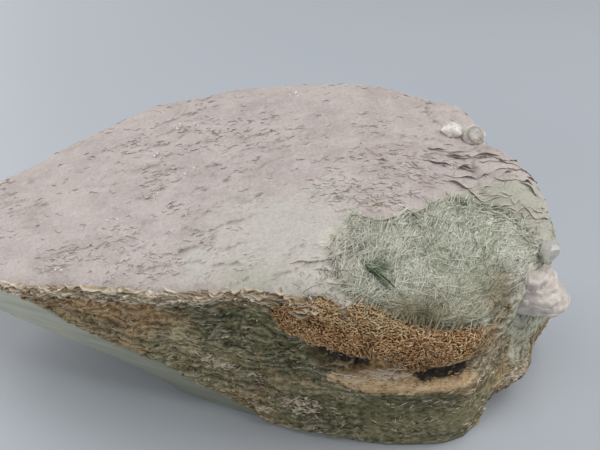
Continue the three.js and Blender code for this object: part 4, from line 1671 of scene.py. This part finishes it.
@dataclass
class NeedleFelt:
    """The needles that lie on the felt's body in sheaves, and the stray ones round it."""

    ground: Ground
    box: Box
    block_box: Box
    laid: Hairs = Hairs(680, 16, (4.0, 11.0), (0.06, 0.15), (-0.5, -0.28, 0.0, 0.28, 0.5), 22.0, 0.4)
    loose: Hairs = Hairs(800, 2, (4.0, 12.0), (0.05, 0.09), (-0.5, -0.28, 0.0, 0.28, 0.5), 42.0, 0.9, 1.05)
    stray: Hairs = Hairs(1400, 3, (2.0, 6.0), (0.05, 0.1), (-0.5, -0.2, 0.2, 0.5), 38.0, 0.1)

    def heading(self, points: np.ndarray) -> np.ndarray:
        """The way that the needles run over the felt, in degrees in the plan from +X."""
        share = (points - self.box.low) / (self.box.high - self.box.low)
        fan = np.interp(share[:, 0], [0.0, 0.3, 0.47, 0.7, 0.85, 1.0], [85, 72, 86, 60, 40, 18])
        return fan - 16 * np.clip(0.4 - share[:, 1], 0, 1) / 0.4 + 14 * NOISE.rough(points, 8.0, 2)

    def needles(self, kind: Hairs, likely: np.ndarray, rng: np.random.Generator) -> Shape:
        """Sheaves of needles laid over each other.

        Args:
            kind: The kind of needle.
            likely: How likely a sheaf is, at each point of the ground.
            rng: The random numbers.

        Returns:
            The needles as one shape.
        """
        sheaves = self.ground.seats(likely, kind.sheaves, rng)
        sheaf = np.repeat(np.arange(kind.sheaves), kind.per_sheaf)
        up, count = sheaves.normals[sheaf], len(sheaf)
        lean = self.heading(sheaves.points) + rng.normal(0, kind.turn, kind.sheaves)
        lean += rng.uniform(-90, 90, kind.sheaves) * (rng.random(kind.sheaves) > 0.72)
        angle = np.radians(lean[sheaf] + rng.normal(0, 8, count))
        way = across(up, np.stack([np.cos(angle), np.sin(angle), 0 * angle], 1))
        side = np.cross(up, way)
        size = rng.uniform(*kind.length, kind.sheaves)
        length = (size[sheaf] * rng.uniform(0.6, 1.1, count))[:, None]
        middle = sheaves.points[sheaf] + side * rng.normal(0, 1.1, (count, 1)) + way * rng.normal(0, 1.2, (count, 1))
        stations = np.array(kind.stations)
        bow = (rng.normal(0, 0.03, kind.sheaves)[sheaf] + rng.normal(0, 0.015, count))[:, None] * length
        bend = bow * (1 - (2 * stations) ** 2)
        paths = middle[:, None] + (stations * length)[..., None] * way[:, None] + bend[..., None] * side[:, None]
        rise = rng.uniform(0.0, kind.rise, count)
        slope = rng.normal(0, 0.03, (count, 1)) * length * stations
        paths = self.settled(paths, up, stations) + (rise[:, None] + slope)[..., None] * up[:, None]
        radius = rng.uniform(*kind.radius, (count, 1)) * np.ones(len(stations) - 2)
        # deep lowers the tone: darker felt, and painted shadow under the sheet's edge
        tone = rng.normal(kind.tone, 0.36, count) - 0.15 * zone_mark("deep", middle, self.block_box)
        marks = {"tone": np.clip(tone, 0, 1.2)}
        for name in ("stain", "white"):
            marks[name] = zone_mark(name, middle, self.block_box)
        return threads(paths, radius, 3, up, marks)

    def settled(self, paths: np.ndarray, up: np.ndarray, stations: np.ndarray) -> np.ndarray:
        """Lays needles on the ground.

        Args:
            paths: The points of each needle in a plane through its seat.
            up: The way that the ground faces at each needle.
            stations: Where the points are along a needle.

        Returns:
            The points of each needle, over the ground below its two ends and its middle.
        """
        reach = 4.0
        knots = np.array([-0.5, 0.0, 0.5])
        ends = 0.5 * (paths[:, :1] + paths[:, -1:]) + (paths[:, -1:] - paths[:, :1]) * knots[:, None]
        start = (ends + reach * up[:, None]).reshape(-1, 3)
        drop = reach - self.ground.under(start, np.repeat(-up, 3, axis=0), 2 * reach)
        drop = np.clip(drop.reshape(-1, 3), -1.5, 1.5)
        height = np.stack([np.interp(stations, knots, row) for row in drop])
        return paths + height[..., None] * up[:, None]

    def build(self, shop: Workshop) -> None:
        """Makes the laid needles and the stray ones."""
        rng = np.random.default_rng(41)
        marks = self.ground.shape.marks
        points = self.ground.shape.points
        inside = ease(0.0, -0.03, past_felt(points, self.block_box))
        left = self.block_box.at(0.625, 0, 0)[0], self.block_box.at(0.70, 0, 0)[0]
        on_felt = marks["felt"] * inside * (1 - 0.4 * marks["stain"]) * (0.1 + 0.9 * ease(*left, points[:, 0]))
        shop.piece("actinolite_needles", self.needles(self.laid, on_felt, rng), FeltFinish(), 30)
        free = on_felt * (1 + 2 * ease(0.79, 0.71, (points[:, 0] / self.block_box.high[0] + 1) / 2))
        shop.piece("loose_needles", self.needles(self.loose, free, rng), FeltFinish(), 30)
        round_it = marks["felted"] ** 2 + 0.12 * marks["flank"] + 0.06 * marks["white"] + 0.4 * marks["stain"]
        round_it *= (1 - marks["felt"]) * ease(0.0, 0.3, self.ground.normals[:, 2]) * (1 - marks["sawn"]) * inside
        shop.piece("stray_needles", self.needles(self.stray, round_it, rng), FeltFinish(), 30)


@dataclass
class Splinters:
    """Short splinters that lie matted on the weathered front, in the colours of the rock below them."""

    block: SchistBlock
    ground: Ground
    count: int = 4000
    length: tuple[float, float] = (1.0, 3.4)
    radius: tuple[float, float] = (0.07, 0.19)
    stations: tuple[float, ...] = (-0.5, -0.2, 0.2, 0.5)
    turn: float = 34.0
    stand: float = 0.13

    def shape(self) -> Shape:
        """The splinters as one shape, a third of them pale and a third dark."""
        rng = np.random.default_rng(46)
        marks, points = self.ground.shape.marks, self.ground.shape.points
        bare = (1 - marks["sawn"]) * ease(0.5, 0.2, marks["top"]) * ease(0.5, 0.2, marks["rust"])
        bare *= ease(0.2, -0.3, self.ground.normals[:, 1]) * ease(0.4, 0.2, marks["pit"])
        bare *= ease(1.5, 3.0, points[:, 2] - self.block.box.low[2]) * (1 - marks["cream"])
        bare *= 0.25 + ease(-0.2, 0.3, NOISE.rough(points, 8.0, 2, 4.7))
        seats = self.ground.seats(bare, self.count, rng)
        along = unit(np.cross(self.block.axes[2], seats.normals))
        aside = np.cross(seats.normals, along)
        angle = np.radians(rng.normal(0, self.turn, (self.count, 1)))
        way = np.cos(angle) * along + np.sin(angle) * aside
        stations = np.array(self.stations)
        length = rng.uniform(*self.length, (self.count, 1))
        rise = rng.normal(0, self.stand, (self.count, 1)) * length * stations + 0.08
        bend = rng.normal(0, 0.5, (self.count, 1)) * stations**2
        paths = (seats.points[:, None] + (stations * length)[..., None] * way[:, None]
                 + rise[..., None] * seats.normals[:, None] + bend[..., None] * aside[:, None])
        radii = rng.uniform(*self.radius, (self.count, 1)) * np.ones(len(stations) - 2)
        kind = rng.random(self.count)
        carried = dict(seats.marks)
        carried["cream"] = (kind > 0.66) * rng.uniform(0.15, 0.95, self.count)
        # a third of the splinters are darkened through the same mark, as their own dark colour
        carried["hollow"] = (kind < 0.36) * rng.uniform(0.6, 1.3, self.count)
        carried["rim"] = np.zeros(self.count)
        return threads(paths, radii, 3, seats.normals, carried)

    def build(self, shop: Workshop, finish: Finish) -> None:
        """Makes the splinters as one piece."""
        shop.piece("schist_splinters", self.shape(), finish)


@dataclass
class RustGrains:
    """Stubby curled grains that crowd the rusty band."""

    ground: Ground
    tries: int = 15000
    on_lens: int = 420
    gap: float = 0.385
    length: tuple[float, float] = (0.75, 1.35)
    radius: tuple[float, float] = (0.19, 0.29)

    def grains(self, seats: Seats, turn: float, proud: float, rng: np.random.Generator) -> Shape:
        """One grain at each seat.

        Args:
            seats: Where the grains are.
            turn: How far they turn out of the level, in degrees.
            proud: How far they stand out of the ground.
            rng: The random numbers.

        Returns:
            The grains as one shape.
        """
        count = len(seats.points)
        angle = np.radians(turn * (NOISE.rough(seats.points, 3.4, 1, 4.4) + rng.normal(0, 0.22, count)))
        level = across(seats.normals, np.tile([1.0, 0, 0], (count, 1)))
        steep = np.cross(seats.normals, level)
        way = np.cos(angle)[:, None] * level + np.sin(angle)[:, None] * steep
        side = np.cross(seats.normals, way)
        length = rng.uniform(*self.length, (count, 1))
        stations = np.array([-0.5, -0.4, -0.2, 0.0, 0.2, 0.4, 0.5])
        arch = 1 - (2 * stations) ** 2
        curl = rng.normal(0, 0.22, (count, 1)) * length * arch
        hump = rng.uniform(0.1, 0.5, (count, 1)) * arch + rng.uniform(-0.15, 0.35, (count, 1))
        hump = proud * hump - 0.15 * (1 - proud)
        paths = (seats.points[:, None] + (stations * length)[..., None] * way[:, None]
                 + curl[..., None] * side[:, None] + hump[..., None] * seats.normals[:, None])
        radius = rng.uniform(*self.radius, (count, 1)) * np.array([[0.7, 0.95, 1.0, 0.95, 0.7]])
        tone = np.clip(rng.normal(0.5, 0.25, count), 0, 1)
        dust = np.clip(ease(0.5, 0.9, seats.marks["stain"]) + 0.8 * (1 - proud), 0, 0.7)
        return threads(paths, radius, 4, seats.normals, {"tone": tone, "dust": dust * rng.random(count) ** 0.5})

    def shape(self) -> Shape:
        """The grains of the band, and flatter ones on the lens below it."""
        rng = np.random.default_rng(51)
        marks = self.ground.shape.marks
        clear = 1 - ease(0.3, 0.6, marks["pit"])
        ragged = marks["rust"] + 0.25 * NOISE.rough(self.ground.shape.points, 4.0, 3, 5.7)
        band = self.ground.seats(ease(0.4, 0.62, ragged) ** 2 * clear, self.tries, rng).spaced(self.gap)
        on_lens = ease(0.45, 0.7, marks["ochre"]) * clear * (1 - ease(0.2, 0.5, marks["rust"]))
        lens = self.ground.seats(on_lens, self.on_lens, rng).spaced(self.gap)
        return Shape.joined([self.grains(band, 110, 1.0, rng), self.grains(lens, 22, 0.15, rng)])

    def build(self, shop: Workshop) -> None:
        """Makes the grains as one piece."""
        shop.piece("rusty_grains", self.shape(), RustFinish(), 60)


@dataclass
class Blades:
    """The dark blades across the felt, with a tuft of short dark needles beside them."""

    ground: Ground

    def build(self, shop: Workshop) -> None:
        """Makes the blades as one piece."""
        rng = np.random.default_rng(61)
        box = Box.of(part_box("actinolite_blades"))
        start, end = box.at(0.02, 0.98, 1.0), box.at(0.98, 0.02, 0.45)
        way = unit(end - start)
        up = unit(np.array([0.16, -0.32, 0.93]))
        side = unit(np.cross(up, way))
        offsets = np.array([-0.6, -0.4, -0.05, 0.25, 0.45, 0.62])
        tones = np.array([0.15, 0.4, 1.2, 0.1, 0.25, 0.6])
        shares = np.array([(0.0, 0.8), (0.04, 0.9), (0.1, 0.95), (0.0, 1.0), (0.1, 1.0), (0.35, 0.8)])
        stations = np.array([0.0, 0.06, 0.35, 0.65, 0.94, 1.0])
        along = shares[:, :1] + (shares[:, 1:] - shares[:, :1]) * stations
        paths = (start + along[..., None] * (end - start) + offsets[:, None, None] * side
                 + 0.25 * up * rng.uniform(0, 1, (6, 1, 1)))
        radii = np.full((6, 4), 0.24) * rng.uniform(0.8, 1.2, (6, 1))
        main = threads(paths, radii, 6, np.tile(up, (6, 1)), {"tone": tones})
        tuft = self.tuft(box, up, way, rng)
        shop.piece("actinolite_blade_cluster", Shape.joined([main, tuft]), BladeFinish(), 25,
                   ("actinolite_blades",))

    def tuft(self, box: Box, up: np.ndarray, way: np.ndarray, rng: np.random.Generator) -> Shape:
        """Short dark needles that fan out behind the blades."""
        count = 170
        middle = box.at(0.62, 0.68, 0.95) + rng.normal(0, 1, (count, 3)) * (1.3, 1.5, 0.25)
        angle = rng.normal(1.1, 0.5, count)
        side = unit(np.cross(up, way))
        heading = np.cos(angle)[:, None] * way + np.sin(angle)[:, None] * side
        stations = np.array([-0.5, -0.2, 0.2, 0.5])
        length = rng.uniform(1.2, 3.2, (count, 1))
        paths = middle[:, None] + (stations * length)[..., None] * heading[:, None]
        tone = rng.uniform(0.3, 1.15, count)
        return threads(paths, np.full((count, 2), 0.09), 3, np.tile(up, (count, 1)), {"tone": tone})


@dataclass
class QuartzPieces:
    """The plates at the right tip, a clear crystal above them and the two grains at the end of the crest."""

    grain_voxel: float = 0.28
    tip_voxel: float = 0.4
    crystal: tuple[float, float, float] = (91.0, -31.6, 52.6)
    crystal_height: float = 7.5
    crystal_width: float = 3.1

    def lump(self, node: str, voxel: float, rounds: int, height: float, cell: tuple[float, float, float]) -> Shape:
        """The CAD node's shape, softened and given a broken surface.

        Args:
            node: The CAD node.
            voxel: The width of the faces.
            rounds: How often it is smoothed.
            height: How far the surface stands out.
            cell: The size of the plates or facets.

        Returns:
            The shape.
        """
        shape = Shape.of(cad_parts[node].data).remeshed(voxel)
        web = Web(shape)
        points = shape.points
        for _ in range(rounds):
            points = 0.5 * (points + web.mean(points))
        normals = unit(web.smoothed(Shape(points, shape.triangles).normals(), 3))
        warped = points + 0.7 * np.column_stack([NOISE.rough(points, 4.0, 2, k) for k in (1.5, 3.5, 6.5)])
        along, chance = NOISE.plates(warped / cell, 2)
        rise = height * (0.5 * NOISE.rough(points, 4.0, 3) + along + 1.2 * (chance - 0.5))
        return Shape(points + rise[:, None] * normals, shape.triangles)

    def clear(self) -> Shape:
        """A stubby six-sided crystal that narrows downward, with a flat facet across its top."""
        turn = 2 * math.pi * np.arange(6) / 6 + 0.3
        ring = np.column_stack([np.cos(turn), np.sin(turn), 0 * turn])
        wide = self.crystal_width * np.array([0.35, 0.8, 1.0, 0.95, 0.55])
        level = self.crystal_height * np.array([-0.5, -0.2, 0.15, 0.38, 0.5])
        rings = wide[:, None, None] * ring + level[:, None, None] * np.array([0.12, -0.2, 0.97])
        rings[3:] += 0.3 * ring[1] * self.crystal_width * np.array([0.4, 1.0])[:, None, None]
        points = np.concatenate([rings.reshape(-1, 3), rings[:1].mean(1), rings[-1:].mean(1)])
        k, step = np.arange(6), (np.arange(6) + 1) % 6
        faces = []
        for r in range(4):
            a, b = 6 * r, 6 * (r + 1)
            faces += [np.stack([a + k, a + step, b + k], 1), np.stack([a + step, b + step, b + k], 1)]
        faces += [np.stack([step, k, np.full(6, 30)], 1), np.stack([24 + k, 24 + step, np.full(6, 31)], 1)]
        return Shape(np.array(self.crystal) + points, np.concatenate(faces))

    def build(self, shop: Workshop) -> None:
        """Makes the four pieces."""
        tip = self.lump("quartz_tip", self.tip_voxel, 8, 0.28, (6.0, 6.0, 1.9))
        shop.piece("quartz_tip_plates", tip, QuartzFinish(), 50, ("quartz_tip",))
        shop.piece("clear_quartz_crystal", self.clear(), ClearQuartzFinish(), 10)
        white = self.lump("quartz_grain_white", self.grain_voxel, 2, 0.45, (2.2, 2.2, 1.6))
        bright = QuartzFinish("White quartz", "eae6e0", "fcfaf7", "c5c0b6")
        shop.piece("white_quartz_grain", white, bright, 50, ("quartz_grain_white",))
        grey = self.lump("quartz_grain_grey", self.grain_voxel, 2, 0.35, (2.2, 2.2, 1.6))
        box = Box.of(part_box("quartz_grain_grey"))
        face = unit(grey.points - box.at(0.5, 0.5, 0.5)) @ unit(np.array([0.0, -0.8, 0.6]))
        grey.marks["ring"] = np.exp(-(((face - 0.72) / 0.16) ** 2))
        shop.piece("grey_quartz_grain", grey, QuartzFinish("Grey quartz", "c9c7c5", "e8e7e5"), 50,
                   ("quartz_grain_grey",))


@dataclass
class Crumbs:
    """Small white crumbs of quartz that lie scattered on the top."""

    ground: Ground
    box: Box
    clusters: tuple[tuple[float, float], ...] = ((0.355, 0.659), (0.383, 0.788), (0.417, 0.767), (0.244, 0.260),
                                                 (0.31, 0.42), (0.37, 0.47), (0.42, 0.55), (0.58, 0.82))
    per_cluster: int = 3
    size: tuple[float, float] = (0.25, 0.7)

    def build(self, shop: Workshop) -> None:
        """Makes the crumbs as one piece, each of them a squat cut stone."""
        rng = np.random.default_rng(71)
        above = np.array([self.box.at(x, y, 1.3) for x, y in self.clusters for _ in range(self.per_cluster)])
        above[:, :2] += rng.normal(0, 1.6, (len(above), 2))
        down = np.tile((0.0, 0.0, -1.0), (len(above), 1))
        seats = self.ground.nearest(above + self.ground.under(above, down, 200.0)[:, None] * down)
        size = rng.uniform(*self.size, (len(above), 1))
        way = across(seats.normals, rng.normal(size=above.shape))
        along = np.array([-0.8, -0.5, 0.0, 0.5, 0.8])
        paths = seats.points[:, None] + (along * size)[..., None] * way[:, None] + 0.2 * size[..., None] * seats.normals[:, None]
        radii = size * rng.uniform(0.5, 0.8, (len(above), 3))
        crumbs = threads(paths, radii, 5, seats.normals, {})
        shop.piece("white_quartz_crumbs", crumbs, QuartzFinish("White quartz", "eae6e0", "fcfaf7", "c5c0b6"),
                   20)


@dataclass
class Studio:
    """The floor, the soft lights and the camera."""

    box: Box
    floor_side: float = 6000.0
    aim: tuple[float, float, float] = (18.8, -5.01, 45.0)
    elevation: float = 33.0
    distance: float = 295.0
    field: float = 36.0
    sky: tuple[float, float, float] = (0.90, 0.90, 0.89)
    sky_strength: float = 0.18
    lamps: tuple = (
        ("left_front", (-640.0, -640.0, 330.0), 500.0, 3.2, (1.0, 0.98, 0.95)),
        ("left_back", (-610.0, 610.0, 400.0), 500.0, 4.0, (1.0, 0.985, 0.965)),
        ("overhead", (390.0, -120.0, 860.0), 700.0, 4.1, (1.0, 0.985, 0.965)),
        ("right", (860.0, 0.0, 400.0), 500.0, 3.0, (1.0, 0.98, 0.95)),
    )

    def floor(self, shop: Workshop) -> None:
        """A plain pale floor under the specimen."""
        half = self.floor_side / 2
        corners = np.array([[-half, -half, 0], [half, -half, 0], [half, half, 0], [-half, half, 0]])
        mesh = Shape(corners, np.array([[0, 1, 2], [0, 2, 3]])).mesh("floor")
        mesh.materials.append(shop.dressed(FloorFinish()))
        floor = bpy.data.objects.new("floor", mesh)
        bpy.context.scene.collection.objects.link(floor)
        floor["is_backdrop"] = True

    def light(self) -> None:
        """An even sky and the area lamps."""
        world = bpy.data.worlds.new("studio_air")
        world.use_nodes = True
        background = world.node_tree.nodes["Background"]
        background.inputs["Color"].default_value = (*self.sky, 1.0)
        background.inputs["Strength"].default_value = self.sky_strength
        bpy.context.scene.world = world
        for name, place, side, power, colour in self.lamps:
            lamp = bpy.data.lights.new(name, "AREA")
            lamp.energy, lamp.size, lamp.color = power, side * MM, colour
            holder = bpy.data.objects.new(name, lamp)
            bpy.context.scene.collection.objects.link(holder)
            holder.location = Vector(place) * MM
            holder.rotation_euler = (-holder.location).to_track_quat("-Z", "Y").to_euler()

    def camera(self) -> None:
        """The camera in front of the specimen, looking down on it."""
        rise = math.radians(self.elevation)
        back = Vector((0, -math.cos(rise), math.sin(rise)))
        lens = bpy.data.cameras.new("camera")
        lens.angle = math.radians(self.field)
        lens.clip_start = 10 * MM
        holder = bpy.data.objects.new("camera", lens)
        bpy.context.scene.collection.objects.link(holder)
        middle = Vector(((self.box.low + self.box.high) / 2 * (1, 1, 0)).tolist())
        holder.location = (middle + Vector(self.aim) + self.distance * back) * MM
        holder.rotation_euler = (-back).to_track_quat("-Z", "Y").to_euler()
        bpy.context.scene.camera = holder

    def build(self, shop: Workshop) -> None:
        """Sets up the studio."""
        self.floor(shop)
        self.light()
        self.camera()
        bpy.context.scene.view_settings.view_transform = "Standard"


def main() -> None:
    """Builds the specimen and the studio."""
    logging.basicConfig(level=logging.INFO, format="%(name)s: %(message)s")
    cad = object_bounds()
    box = Box.of(cad)
    shop = Workshop()
    Studio(box).build(shop)

    bed = FeltBed(box).shape()
    shop.piece("actinolite_felt_bed", bed, FeltFinish(), 50, ("actinolite_needle_mass",))
    block = SchistBlock(box)
    surface = block.shape(bed)
    schist = SchistFinish()
    shop.piece("schist_body", surface, schist, 50, ("schist_block",))

    plates = EdgePlates(block)
    broad = plates.broad(Ground(Shape.joined([surface, bed]), spread=6))
    ground = Ground(Shape.joined([surface, bed, broad]), spread=10)
    plates.build(shop, schist, broad, ground)
    FoliationFlakes(block, ground).build(shop, schist)
    Splinters(block, ground).build(shop, schist)
    RustGrains(ground).build(shop)
    NeedleFelt(ground, Box.of(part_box("actinolite_needle_mass")), box).build(shop)
    Blades(ground).build(shop)
    QuartzPieces().build(shop)
    Crumbs(ground, box).build(shop)

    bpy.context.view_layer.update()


if __name__ == "__main__":
    main()
